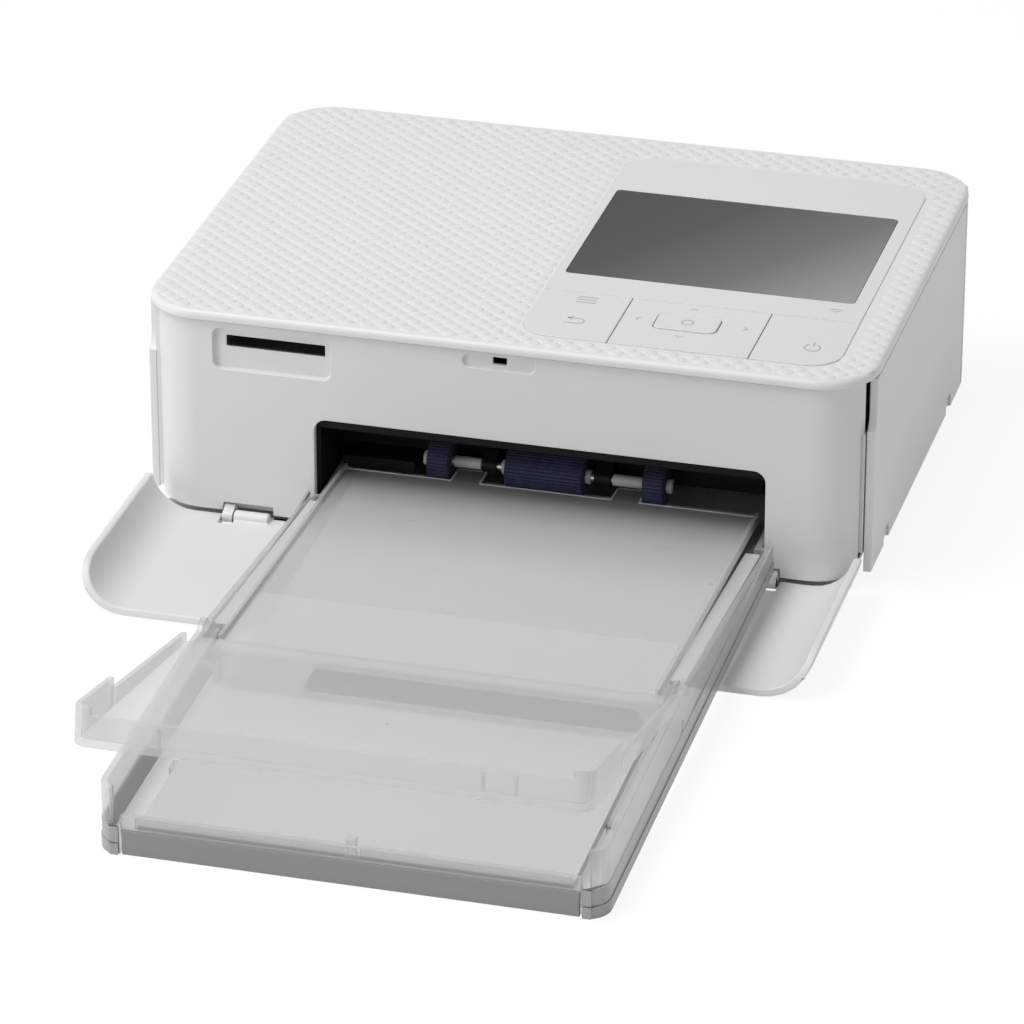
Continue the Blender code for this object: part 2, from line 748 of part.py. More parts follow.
def make_boards(root):
    """The main board, the key board with its switches, and the card socket."""
    board_z = (MAIN_BOARD_TOP - BOARD_THICK, MAIN_BOARD_TOP)
    board_x = (MAIN_BOARD_LEFT, MAIN_BOARD_RIGHT)
    board = box(board_x, (MAIN_BOARD_FRONT, MAIN_BOARD_BACK), board_z)
    middle_x = (MAIN_BOARD_LEFT + MAIN_BOARD_RIGHT) / 2
    for side in (-1, 1):
        chip_x = middle_x + side * CHIP_SIDE
        chip_span = (chip_x - CHIP_SIDE / 2, chip_x + CHIP_SIDE / 2)
        chip = box(chip_span, (0, CHIP_SIDE), (board_z[0], MAIN_BOARD_TOP + CHIP_HEIGHT))
        add(board, chip)
    keep(board, "main_board", "board_green", root)

    key_z = (KEY_BOARD_TOP - BOARD_THICK, KEY_BOARD_TOP)
    key_board = box((KEY_BOARD_LEFT, KEY_BOARD_RIGHT), (KEY_BOARD_FRONT, KEY_BOARD_BACK), key_z)
    key_y = (OK_FRONT + OK_BACK) / 2
    key_places = (MENU_KEY_RIGHT / 2, (OK_LEFT + OK_RIGHT) / 2, (POWER_KEY_LEFT + PANEL_RIGHT) / 2)
    for key_x in key_places:
        span = (key_z[0] + GAP, PANEL_BOTTOM - SWITCH_PLAY)
        add(key_board, rod((key_x, key_y), SWITCH_RADIUS, "Z", span))
    keep(key_board, "key_board", "board_green", root)

    socket_x = (CARD_SLOT_LEFT - SOCKET_WALL, CARD_SLOT_RIGHT + SOCKET_WALL)
    socket_front = SHELL_FRONT + WALL + GAP
    socket_y = (socket_front, socket_front + SOCKET_DEPTH)
    socket_top = board_z[0] - GAP
    socket = box(socket_x, socket_y, (CARD_SLOT_BOTTOM - SOCKET_WALL, socket_top))
    hollow_x = (CARD_SLOT_LEFT, CARD_SLOT_RIGHT)
    hollow_y = (socket_front - CUT, socket_y[1] - SOCKET_WALL)
    cut(socket, box(hollow_x, hollow_y, (CARD_SLOT_BOTTOM, socket_top - SOCKET_WALL)))
    keep(socket, "card_socket", "socket_metal", root)


def make_front_shell(root):
    """The front of the body, with the paper mouth, card slot and latch recess."""
    reach = math.asin((SHELL_FRONT + SHELL_CORNER - SHELL_BACK) / SHELL_CORNER)
    right = (SHELL_HALF - SHELL_CORNER, SHELL_FRONT + SHELL_CORNER)
    left = (-right[0], right[1])
    inner = SHELL_CORNER - WALL
    outline = arc(left, SHELL_CORNER, HALF_TURN + reach, 3 * QUARTER_TURN)
    outline += arc(right, SHELL_CORNER, 3 * QUARTER_TURN, 4 * QUARTER_TURN - reach)
    outline += arc(right, inner, 4 * QUARTER_TURN - reach, 3 * QUARTER_TURN)
    outline += arc(left, inner, 3 * QUARTER_TURN, HALF_TURN + reach)
    shell = prism(outline, "Z", (BODY_BOTTOM, SHELL_TOP))

    deep = (SHELL_FRONT - CUT, SHELL_FRONT + 2 * WALL)
    mouth = rounded((MOUTH_LEFT, MOUTH_RIGHT), (-MOUTH_TOP, MOUTH_TOP), MOUTH_CORNER)
    cut(shell, prism(mouth, "Y", deep))
    for side in (-1, 1):
        notch = sorted((side * HINGE_NOTCH_INNER, side * (DOOR_LUG_OUTER + GAP)))
        cut(shell, box(notch, deep, (0, HINGE_NOTCH_TOP)))
    lap = box((-BODY_WIDTH, BODY_WIDTH), (SHELL_LAP_BACK, 0), (0, LAP_TOP))
    cut(shell, lap)
    recess_x = (CARD_RECESS_LEFT, CARD_RECESS_RIGHT)
    recess_z = (CARD_RECESS_BOTTOM, CARD_RECESS_TOP)
    shallow = (SHELL_FRONT - CUT, SHELL_FRONT + CARD_RECESS_DEPTH)
    cut(shell, prism(rounded(recess_x, recess_z, CARD_RECESS_CORNER), "Y", shallow))
    slot_x = (CARD_SLOT_LEFT, CARD_SLOT_RIGHT)
    cut(shell, box(slot_x, deep, (CARD_SLOT_BOTTOM, CARD_SLOT_TOP)))
    latch_z = (LATCH_BOTTOM, LATCH_TOP)
    latch = rounded((LATCH_LEFT, LATCH_RIGHT), latch_z, LATCH_CORNER)
    cut(shell, prism(latch, "Y", (SHELL_FRONT - CUT, SHELL_FRONT + LATCH_DEPTH)))
    hole_z = (LATCH_BOTTOM + LATCH_HOLE_SILL, LATCH_TOP)
    cut(shell, box((LATCH_HOLE_LEFT, LATCH_HOLE_RIGHT), deep, hole_z))
    keep(shell, "front_shell", "white_shell", root)


def side_step_cutter(x):
    """Cuts the side shells' front edge back above the step, with a round corner."""
    centre = (SIDE_FRONT_HIGH - SIDE_STEP_RADIUS, SIDE_STEP_TOP)
    outline = [(SIDE_FRONT_HIGH, BODY_TOP), (centre[0] - CUT, BODY_TOP)]
    outline.append((centre[0] - CUT, SIDE_STEP_TOP - SIDE_STEP_RADIUS))
    outline += arc(centre, SIDE_STEP_RADIUS, -QUARTER_TURN, 0)
    return prism(outline, "X", x)


def make_rear_shell(root):
    """The left side, the back and the right rear corner, in one moulding."""
    right = (HALF_WIDTH - BODY_CORNER, HALF_DEPTH - BODY_CORNER)
    left = (-right[0], right[1])
    inner = BODY_CORNER - WALL
    outline = [(-HALF_WIDTH, SIDE_FRONT), (WALL - HALF_WIDTH, SIDE_FRONT)]
    outline += arc(left, inner, HALF_TURN, QUARTER_TURN)
    outline += arc(right, inner, QUARTER_TURN, 0)
    outline += arc(right, BODY_CORNER, 0, QUARTER_TURN)
    outline += arc(left, BODY_CORNER, QUARTER_TURN, HALF_TURN)
    shell = prism(outline, "Z", (SIDE_BOTTOM, SHELL_TOP))
    cut(shell, side_step_cutter((-HALF_WIDTH - CUT, WALL + CUT - HALF_WIDTH)))
    deep = (HALF_DEPTH - 2 * WALL, HALF_DEPTH + CUT)
    slot_x = (REAR_SLOT_LEFT, REAR_SLOT_RIGHT)
    slot_z = (REAR_SLOT_BOTTOM, REAR_SLOT_TOP)
    cut(shell, prism(rounded(slot_x, slot_z, WALL / 2, SMALL_STEPS // 4), "Y", deep))
    for index in range(VENT_COUNT):
        vent_x = VENT_START + index * VENT_PITCH
        vent = rounded((vent_x, vent_x + VENT_WIDTH), (VENT_BOTTOM, VENT_TOP), VENT_WIDTH / 3, 2)
        cut(shell, prism(vent, "Y", deep))
    inlet_x = (INLET_LEFT - GAP, INLET_RIGHT + GAP)
    cut(shell, box(inlet_x, deep, (0, INLET_TOP + GAP)))
    cut(shell, box((USB_LEFT - GAP, USB_RIGHT + GAP), deep, (0, USB_TOP + GAP)))
    keep(shell, "rear_shell", "white_shell", root)


def make_rear_sockets(root):
    """The power inlet and the USB socket, on the floor behind their openings."""
    face = HALF_DEPTH - GAP
    inlet = box((INLET_LEFT, INLET_RIGHT), (face - INLET_DEPTH, face), (FRAME_BOTTOM, INLET_TOP))
    centre = ((INLET_LEFT + INLET_RIGHT) / 2, (FRAME_BOTTOM + INLET_TOP) / 2)
    bore = rod(centre, INLET_BORE, "Y", (face - INLET_DEPTH + WALL, face + CUT))
    keep(cut(inlet, bore), "power_inlet", "black_plastic", root)

    socket = box((USB_LEFT, USB_RIGHT), (face - USB_DEPTH, face), (FRAME_BOTTOM, USB_TOP))
    middle = ((USB_LEFT + USB_RIGHT) / 2, (FRAME_BOTTOM + USB_TOP) / 2)
    mouth_x = (middle[0] - USB_MOUTH_WIDTH / 2, middle[0] + USB_MOUTH_WIDTH / 2)
    mouth_z = (middle[1] - USB_MOUTH_HEIGHT / 2, middle[1] + USB_MOUTH_HEIGHT / 2)
    mouth = box(mouth_x, (face - USB_DEPTH + WALL, face + CUT), mouth_z)
    keep(cut(socket, mouth), "usb_socket", "socket_metal", root)


def make_ink_cover(root):
    """The right side panel, which swings down on two pins."""
    axis = pivot("ink_cover_axis", (COVER_AXIS_X, 0, COVER_AXIS_Z), root)
    x = (HALF_WIDTH - WALL, HALF_WIDTH)
    cover = box(x, (SIDE_FRONT, COVER_BACK), (SIDE_BOTTOM, SHELL_TOP))
    cut(cover, side_step_cutter((x[0] - CUT, x[1] + CUT)))
    centre = (COVER_AXIS_X, COVER_AXIS_Z)
    for lug_y in COVER_LUG_PLACES:
        half = COVER_LUG_LENGTH / 2 + GAP
        reach = half + COVER_KNUCKLE_LENGTH
        add(cover, rod(centre, COVER_KNUCKLE, "Y", (lug_y - reach, lug_y + reach), ROUND_STEPS))
        notch_x = (x[0] - 2 * COVER_KNUCKLE, x[1] + CUT)
        cut(cover, box(notch_x, (lug_y - half, lug_y + half), (0, COVER_NOTCH_TOP)))
        bore = rod(centre, COVER_PIN + BORE_FIT, "Y", (lug_y - reach - CUT, lug_y + reach + CUT))
        cut(cover, bore)
    keep(cover, "ink_cover", "white_shell", axis)
    for name, lug_y in zip(("cover_pin_front", "cover_pin_rear"), COVER_LUG_PLACES):
        reach = COVER_LUG_LENGTH / 2 + COVER_KNUCKLE_LENGTH
        pin = rod(centre, COVER_PIN, "Y", (lug_y - reach, lug_y + reach))
        keep(pin, name, "steel", axis)


def make_bottom_case(root):
    """The floor, with its rim, the door's lugs and the ink cover's lugs."""
    left = WALL + GAP - HALF_WIDTH
    front_y = SHELL_FRONT + WALL + GAP
    back_y = HALF_DEPTH - WALL - GAP
    corner = SHELL_CORNER - WALL
    bend_y = front_y + corner
    bend_x = SHELL_HALF - WALL - GAP - corner
    rear_corner = BODY_CORNER - WALL
    rear_y = back_y - rear_corner
    outline = arc((-bend_x, bend_y), corner, HALF_TURN, 3 * QUARTER_TURN)
    outline += arc((bend_x, bend_y), corner, 3 * QUARTER_TURN, 4 * QUARTER_TURN)
    outline.append((FLOOR_RIGHT, bend_y))
    outline += arc((FLOOR_RIGHT - rear_corner, rear_y), rear_corner, 0, QUARTER_TURN)
    outline += arc((left + rear_corner, rear_y), rear_corner, QUARTER_TURN, HALF_TURN)
    outline.append((left, bend_y))
    floor = prism(outline, "Z", (BODY_BOTTOM, FLOOR_TOP))
    rim_z = (BODY_BOTTOM + GAP, FLOOR_TOP + RIM_HEIGHT)
    rim_x = (left + GAP, FLOOR_RIGHT - GAP)
    rim_corner = rear_corner - GAP
    rim = prism(rounded(rim_x, (-rear_corner, back_y - GAP), rim_corner), "Z", rim_z)
    hollow_x = (rim_x[0] + RIM_THICK, FLOOR_RIGHT + rear_corner)
    hollow_y = (-2 * rear_corner, back_y - GAP - RIM_THICK)
    hollow = rounded(hollow_x, hollow_y, rim_corner - RIM_THICK)
    cut(rim, prism(hollow, "Z", (0, BODY_TOP)))
    sockets_x = (INLET_LEFT - CUT, USB_RIGHT + CUT)
    cut(rim, box(sockets_x, (back_y - 2 * RIM_THICK, back_y + CUT), (FLOOR_TOP, BODY_TOP)))
    add(floor, rim)

    for side in (-1, 1):
        lug_x = sorted((side * DOOR_LUG_INNER, side * DOOR_LUG_OUTER))
        axis = (DOOR_AXIS_Y, DOOR_AXIS_Z)
        lug = arc(axis, DOOR_LUG, QUARTER_TURN, 3 * QUARTER_TURN)
        lug += [(DOOR_AXIS_Y, BODY_BOTTOM - DOOR_LUG), (front_y + WALL, BODY_BOTTOM)]
        lug += [(front_y + WALL, FLOOR_TOP), (DOOR_AXIS_Y + DOOR_LUG, FLOOR_TOP)]
        add(floor, prism(lug, "X", lug_x))
        bore_x = (lug_x[0] - CUT, lug_x[1] + CUT)
        cut(floor, rod(axis, DOOR_STUB + GAP, "X", bore_x))
    for lug_y in COVER_LUG_PLACES:
        centre = (COVER_AXIS_X, COVER_AXIS_Z)
        half = COVER_LUG_LENGTH / 2
        lug = arc(centre, COVER_LUG, -QUARTER_TURN, QUARTER_TURN)
        root_x = FLOOR_RIGHT - RIM_THICK
        lug += [(root_x, COVER_AXIS_Z + COVER_LUG), (root_x, COVER_AXIS_Z - COVER_LUG)]
        add(floor, prism(lug, "Y", (lug_y - half, lug_y + half)))
        bore = (lug_y - half - CUT, lug_y + half + CUT)
        cut(floor, rod(centre, COVER_PIN + BORE_FIT, "Y", bore))
    for foot_x, foot_y in foot_places():
        hole = rod((foot_x, foot_y), FOOT_STEM + GAP, "Z", (0, FLOOR_TOP + CUT))
        cut(floor, hole)
    keep(floor, "bottom_case", "white_shell", root)


def foot_places():
    """The middle of each foot."""
    return [(x, y) for y in (FOOT_FRONT, FOOT_BACK) for x in (-FOOT_X, FOOT_X)]


def make_feet(root):
    """Four rubber feet, each with a stem through the floor."""
    names = ("front_left_foot", "front_right_foot", "rear_left_foot", "rear_right_foot")
    top = BODY_BOTTOM - FOOT_DROP
    edge = FOOT_RADIUS - top / 4
    for name, centre in zip(names, foot_places()):
        profile = [(0, 0), (0, edge), (top, FOOT_RADIUS), (top, FOOT_STEM), (FLOOR_TOP, FOOT_STEM)]
        profile.append((FLOOR_TOP, 0))
        keep(turned(profile, "Z", centre), name, "foot_rubber", root)


def make_front_door(root):
    """The drop-down door: a plate with two curved wings and stub pins."""
    axis = pivot("front_door_axis", (0, DOOR_AXIS_Y, DOOR_AXIS_Z), root)
    right = (DOOR_HALF_WIDTH - DOOR_WING, DOOR_BOTTOM + DOOR_WING)
    left = (-right[0], right[1])
    inner = DOOR_WING - DOOR_THICK
    outer_end = math.asin((right[1] - DOOR_RIM) / DOOR_WING)
    inner_end = math.asin((right[1] - DOOR_RIM) / inner)
    outline = arc(left, DOOR_WING, HALF_TURN + outer_end, 3 * QUARTER_TURN)
    outline += arc(right, DOOR_WING, 3 * QUARTER_TURN, 4 * QUARTER_TURN - outer_end)
    outline += arc(right, inner, 4 * QUARTER_TURN - inner_end, 3 * QUARTER_TURN)
    outline += arc(left, inner, 3 * QUARTER_TURN, HALF_TURN + inner_end)
    door = prism(outline, "Y", (DOOR_FRONT, DOOR_BACK))

    fillet_y = DOOR_FRONT + DOOR_FILLET
    corner = arc((fillet_y, DOOR_RIM - DOOR_FILLET), DOOR_FILLET, QUARTER_TURN, HALF_TURN)
    corner += [(DOOR_FRONT - CUT, DOOR_RIM - DOOR_FILLET), (DOOR_FRONT - CUT, DOOR_RIM + CUT)]
    corner.append((fillet_y, DOOR_RIM + CUT))
    cut(door, prism(corner, "X", (-HALF_WIDTH, HALF_WIDTH)))

    for side in (-1, 1):
        clear = sorted((side * DOOR_KNUCKLE_OUTER, side * (DOOR_LUG_OUTER + GAP)))
        notch_y = (DOOR_AXIS_Y - DOOR_LUG - DOOR_KNUCKLE, DOOR_BACK + CUT)
        cut(door, box(clear, notch_y, (-CUT, DOOR_RIM)))
        knuckle_x = sorted((side * DOOR_KNUCKLE_INNER, side * DOOR_KNUCKLE_OUTER))
        centre = (DOOR_AXIS_Y, DOOR_AXIS_Z)
        add(door, rod(centre, DOOR_KNUCKLE, "X", knuckle_x, ROUND_STEPS))
        stub_x = sorted((side * DOOR_KNUCKLE_INNER, side * DOOR_LUG_OUTER))
        add(door, rod(centre, DOOR_STUB, "X", stub_x))
    keep(door, "front_door", "white_shell", axis)


def make_mouth(root):
    """The dark liner of the paper mouth and the holder of the pick-up shaft."""
    outline = [(LINER_LEFT, FRAME_BOTTOM), (LINER_INNER_LEFT, FRAME_BOTTOM)]
    outline += [(LINER_INNER_LEFT, LINER_CEILING), (LINER_INNER_RIGHT, LINER_CEILING)]
    outline += [(LINER_INNER_RIGHT, FRAME_BOTTOM), (LINER_RIGHT, FRAME_BOTTOM)]
    outline += [(LINER_RIGHT, LINER_TOP), (LINER_LEFT, LINER_TOP)]
    liner = prism(outline, "Y", (SHELL_FRONT + WALL + GAP, LINER_BACK))
    keep(liner, "mouth_liner", "black_plastic", root)

    beam_x = (LEFT_FRAME_X + GAP, RIGHT_FRAME_X - GAP)
    beam_front = HOLDER_BACK - HOLDER_THICK
    holder = box(beam_x, (beam_front, HOLDER_BACK), (HOLDER_BOTTOM, HOLDER_TOP))
    root_y = HOLDER_BACK - HOLDER_THICK / 2
    axis = (PICKUP_Y, PICKUP_Z)
    for arm_x in HOLDER_ARMS:
        arm = arc(axis, ARM_RADIUS, QUARTER_TURN, 3 * QUARTER_TURN)
        arm += [(root_y, PICKUP_Z - ARM_RADIUS), (root_y, ARM_ROOT_TOP)]
        add(holder, prism(arm, "X", arm_x))
        bore_x = (arm_x[0] - CUT, arm_x[1] + CUT)
        cut(holder, rod(axis, PICKUP_SHAFT + BORE_FIT, "X", bore_x))
    guide_x = (GUIDE_LEFT, GUIDE_RIGHT)
    add(holder, box(guide_x, (GUIDE_FRONT, root_y), (GUIDE_BOTTOM, GUIDE_TOP)))
    keep(holder, "roller_holder", "black_plastic", root)


def ribbed_outline(centre, radius):
    """A roller's section: a circle with small ribs round it."""
    points = []
    for index in range(ROLLER_RIBS):
        step = 2 * HALF_TURN / ROLLER_RIBS
        start = index * step
        points += arc(centre, radius, start, start + step / 2, 1)
        points += arc(centre, radius - RIB_DEPTH, start + step / 2, start + step, 1)
    return points


def make_pickup(root):
    """The shaft over the paper, with one wide and two narrow rubber rollers."""
    axis = pivot("pickup_axis", (0, PICKUP_Y, PICKUP_Z), root)
    centre = (PICKUP_Y, PICKUP_Z)
    shaft = rod(centre, PICKUP_SHAFT, "X", (PICKUP_SHAFT_LEFT, PICKUP_SHAFT_RIGHT))
    keep(shaft, "pickup_shaft", "steel", axis)
    rollers = {"pickup_roller": (PICKUP_LEFT, PICKUP_RIGHT), **SMALL_ROLLERS}
    for name, span in rollers.items():
        roller = prism(ribbed_outline(centre, PICKUP_RADIUS), "X", span)
        bore = (span[0] - CUT, span[1] + CUT)
        cut(roller, rod(centre, PICKUP_SHAFT + ROLLER_FIT, "X", bore))
        keep(roller, name, "roller_rubber", axis)


def barrel_window(centre_y):
    """The hole in the right frame that one barrel of the ink cassette goes through."""
    radius = BARREL_RADIUS + WINDOW_MARGIN
    return rod((centre_y, BARREL_Z), radius, "X", frame_cut(RIGHT_FRAME_X), ROUND_STEPS)


def frame_cut(frame_x):
    """The span on X of a cut through a side frame that starts at a place."""
    return (frame_x - FRAME_THICK - CUT, frame_x + FRAME_THICK + CUT)


def idler_place():
    """The idler's centre: as far from the feed roller's axis as from the platen's."""
    run = PLATEN_Y - FEED_Y
    drop = PLATEN_Z - FEED_Z
    span = math.hypot(run, drop)
    y = (PLATEN_Y + FEED_Y) / 2 - IDLER_RISE * drop / span
    z = (PLATEN_Z + FEED_Z) / 2 + IDLER_RISE * run / span
    return (y, z)


def gear_module():
    """The module that lets the idler mesh with both roller gears."""
    y, z = idler_place()
    distance = math.hypot(PLATEN_Y - y, PLATEN_Z - z)
    return 2 * distance / (IDLER_TEETH + ROLLER_TEETH)


def pinion_place():
    """The motor pinion's centre, against the idler."""
    y, z = idler_place()
    distance = gear_module() * (IDLER_TEETH + PINION_TEETH) / 2
    return (y + distance * math.cos(PINION_ANGLE), z + distance * math.sin(PINION_ANGLE))


def make_side_frames(root):
    """The two sheet-metal frames that carry the paper feed, and the bar between them."""
    profile = [(FRAME_FRONT, FRAME_BOTTOM), (FRAME_BACK, FRAME_BOTTOM), (FRAME_BACK, FRAME_TOP)]
    profile += [(FRAME_FRONT + FRAME_NOSE, FRAME_TOP), (FRAME_FRONT, FRAME_NOSE_TOP)]
    foot_y = (FRAME_FOOT_FRONT, FRAME_BACK)
    foot_z = (FRAME_BOTTOM, FRAME_BOTTOM + FRAME_FOOT_THICK)
    tab_low = SINK_BOTTOM + SINK_TAB_BOTTOM - GAP
    tab_high = tab_low + SINK_TAB_HEIGHT + HEAD_TRAVEL + 2 * GAP
    tab_half = SINK_TAB_WIDTH / 2 + GAP
    for name, inner_x, side in (("left", LEFT_FRAME_X, -1), ("right", RIGHT_FRAME_X, 1)):
        outer_x = inner_x + side * FRAME_THICK
        frame = prism(profile, "X", sorted((inner_x, outer_x)))
        add(frame, box(sorted((outer_x, inner_x - side * FRAME_FOOT)), foot_y, foot_z))
        span = frame_cut(inner_x)
        bush = BUSH_WALL + 2 * BORE_FIT
        cut(frame, rod((FEED_Y, FEED_Z), FEED_SHAFT + bush, "X", span))
        cut(frame, rod((PLATEN_Y, PLATEN_Z), PLATEN_SHAFT + bush, "X", span))
        cut(frame, rod((FEED_Y, PINCH_Z), PINCH_SHAFT + BORE_FIT, "X", span))
        cut(frame, box(span, (PLATEN_Y - tab_half, PLATEN_Y + tab_half), (tab_low, tab_high)))
        if name == "right":
            bridge_y = (SUPPLY_Y, TAKE_UP_Y)
            cut(frame, barrel_window(SUPPLY_Y), barrel_window(TAKE_UP_Y))
            cut(frame, box(span, bridge_y, (INK_ARCH_TOP, BARREL_Z + BARREL_RADIUS)))
            stud_x = (outer_x - GAP, outer_x + LEVER_THICK + 2 * GAP)
            add(frame, rod((LEVER_Y, LEVER_Z), LEVER_STUD, "X", stud_x))
        else:
            stud_x = (GEAR_LEFT - GAP, outer_x + GAP)
            add(frame, rod(idler_place(), STUD_RADIUS, "X", stud_x))
        keep(frame, name + "_side_frame", "zinc_sheet", root)

    bar_x = (LEFT_FRAME_X + GAP, RIGHT_FRAME_X - GAP)
    bar_y = (CROSS_BAR_BACK - CROSS_BAR_THICK, CROSS_BAR_BACK)
    bar = box(bar_x, bar_y, (CROSS_BAR_BOTTOM, CROSS_BAR_TOP))
    keep(bar, "rear_cross_bar", "zinc_sheet", root)


def shafted_roller(centre, radius, shaft, left, right, body):
    """A roller with a thinner shaft at both ends, along X."""
    profile = [(left, 0), (left, shaft), (body[0], shaft), (body[0], radius)]
    profile += [(body[1], radius), (body[1], shaft), (right, shaft), (right, 0)]
    return turned(profile, "X", centre)


def make_bushes(root):
    """The bushes that carry the feed and platen shafts in the frames."""
    shafts = {"feed": (FEED_Y, FEED_Z, FEED_SHAFT), "platen": (PLATEN_Y, PLATEN_Z, PLATEN_SHAFT)}
    for name, (y, z, shaft) in shafts.items():
        for side, inner_x in ((-1, LEFT_FRAME_X), (1, RIGHT_FRAME_X)):
            inner = inner_x - side * BUSH_OVERHANG
            outer = inner_x + side * (FRAME_THICK + BUSH_OVERHANG)
            ring = rod((y, z), shaft + BORE_FIT + BUSH_WALL, "X", sorted((inner, outer)))
            bore = rod((y, z), shaft + BORE_FIT, "X", frame_cut(inner_x))
            label = name + ("_bush_left" if side < 0 else "_bush_right")
            keep(cut(ring, bore), label, "bush_brass", root)


def gear_outline(centre, teeth, phase):
    """A spur gear's section with straight-sided teeth, one of them at the phase angle."""
    unit = gear_module()
    pitch_radius = unit * teeth / 2
    tip = pitch_radius + ADDENDUM_SHARE * unit
    base = pitch_radius - DEDENDUM_SHARE * unit
    step = 2 * HALF_TURN / teeth
    points = []
    for index in range(teeth):
        middle = phase + index * step
        half_root = step * ROOT_TOOTH_SHARE / 2
        half_tip = step * TIP_TOOTH_SHARE / 2
        points += arc(centre, base, middle - half_root, middle - half_root, 1)[:1]
        points += arc(centre, tip, middle - half_tip, middle + half_tip, 1)
        points += arc(centre, base, middle + half_root, middle + half_root, 1)[:1]
    return points


def meshing_phase(teeth, direction):
    """The phase that puts a gap of a gear on the idler's tooth, seen from the idler."""
    idler_step = 2 * HALF_TURN / IDLER_TEETH
    offset = (direction + idler_step / 2) % idler_step - idler_step / 2
    return direction + HALF_TURN + offset * IDLER_TEETH / teeth + HALF_TURN / teeth


def make_gear(centre, teeth, bore):
    """One gear of the train, in mesh with the idler."""
    idler = idler_place()
    phase = 0.0
    if centre != idler:
        direction = math.atan2(centre[1] - idler[1], centre[0] - idler[0])
        phase = meshing_phase(teeth, direction)
    gear = prism(gear_outline(centre, teeth, phase), "X", (GEAR_LEFT, GEAR_RIGHT))
    return cut(gear, rod(centre, bore + BORE_FIT, "X", (GEAR_LEFT - CUT, GEAR_RIGHT + CUT)))


def make_feed(root):
    """The feed roller, its pinch roller and the platen roller, with their gears."""
    left = GEAR_LEFT - SHAFT_OVERHANG
    right = RIGHT_FRAME_OUT + SHAFT_OVERHANG
    body = (PAPER_LEFT, PAPER_RIGHT)
    feed_axis = pivot("feed_axis", (0, FEED_Y, FEED_Z), root)
    feed = shafted_roller((FEED_Y, FEED_Z), FEED_RADIUS, FEED_SHAFT, left, right, body)
    keep(feed, "feed_roller", "steel", feed_axis)
    keep(make_gear((FEED_Y, FEED_Z), ROLLER_TEETH, FEED_SHAFT), "feed_gear", "gear_nylon", feed_axis)

    pinch_axis = pivot("pinch_axis", (0, FEED_Y, PINCH_Z), root)
    pinch_left = LEFT_FRAME_OUT - BUSH_OVERHANG
    centre = (FEED_Y, PINCH_Z)
    pinch = shafted_roller(centre, PINCH_RADIUS, PINCH_SHAFT, pinch_left, right, body)
    keep(pinch, "pinch_roller", "black_plastic", pinch_axis)

    platen_axis = pivot("platen_axis", (0, PLATEN_Y, PLATEN_Z), root)
    wide = (PAPER_LEFT - PLATEN_MARGIN, PAPER_RIGHT + PLATEN_MARGIN)
    centre = (PLATEN_Y, PLATEN_Z)
    platen = shafted_roller(centre, PLATEN_RADIUS, PLATEN_SHAFT, left, right, wide)
    keep(platen, "platen_roller", "roller_rubber", platen_axis)
    keep(make_gear(centre, ROLLER_TEETH, PLATEN_SHAFT), "platen_gear", "gear_nylon", platen_axis)

    idler = idler_place()
    idler_axis = pivot("idler_axis", (0, *idler), root)
    keep(make_gear(idler, IDLER_TEETH, STUD_RADIUS), "idler_gear", "gear_nylon", idler_axis)


def make_drive(root):
    """The motor, its bracket on three posts, and its pinion."""
    centre = pinion_place()
    plate_right = GEAR_LEFT - BRACKET_GEAR_GAP
    plate_left = plate_right - BRACKET_THICK
    plate_y = (BRACKET_FRONT, BRACKET_BACK)
    plate_z = (BRACKET_BOTTOM, BRACKET_TOP)
    bracket = box((plate_left, plate_right), plate_y, plate_z)
    span = (plate_left - CUT, plate_right + CUT)
    cut(bracket, rod(centre, MOTOR_COLLAR + GAP, "X", span, ROUND_STEPS))
    low = BRACKET_BOTTOM + BRACKET_POST
    high = BRACKET_TOP - BRACKET_POST
    near = BRACKET_FRONT + BRACKET_POST
    far = BRACKET_BACK - BRACKET_POST
    for post in ((near, low), (near, high), (far, high)):
        post_x = (plate_right - GAP, LEFT_FRAME_OUT - GAP)
        add(bracket, rod(post, BRACKET_POST, "X", post_x))
    keep(bracket, "motor_bracket", "zinc_sheet", root)

    face = plate_left - GAP
    end = face - MOTOR_LENGTH
    collar = face + MOTOR_COLLAR_LENGTH
    tip = GEAR_RIGHT + GAP
    profile = [(end, 0), (end, MOTOR_RADIUS), (face, MOTOR_RADIUS), (face, MOTOR_COLLAR)]
    profile += [(collar, MOTOR_COLLAR), (collar, MOTOR_SHAFT), (tip, MOTOR_SHAFT), (tip, 0)]
    keep(turned(profile, "X", centre), "drive_motor", "motor_can", root)
    axis = pivot("pinion_axis", (0, *centre), root)
    pinion = make_gear(centre, PINION_TEETH, MOTOR_SHAFT)
    keep(pinion, "motor_pinion", "gear_nylon", axis)


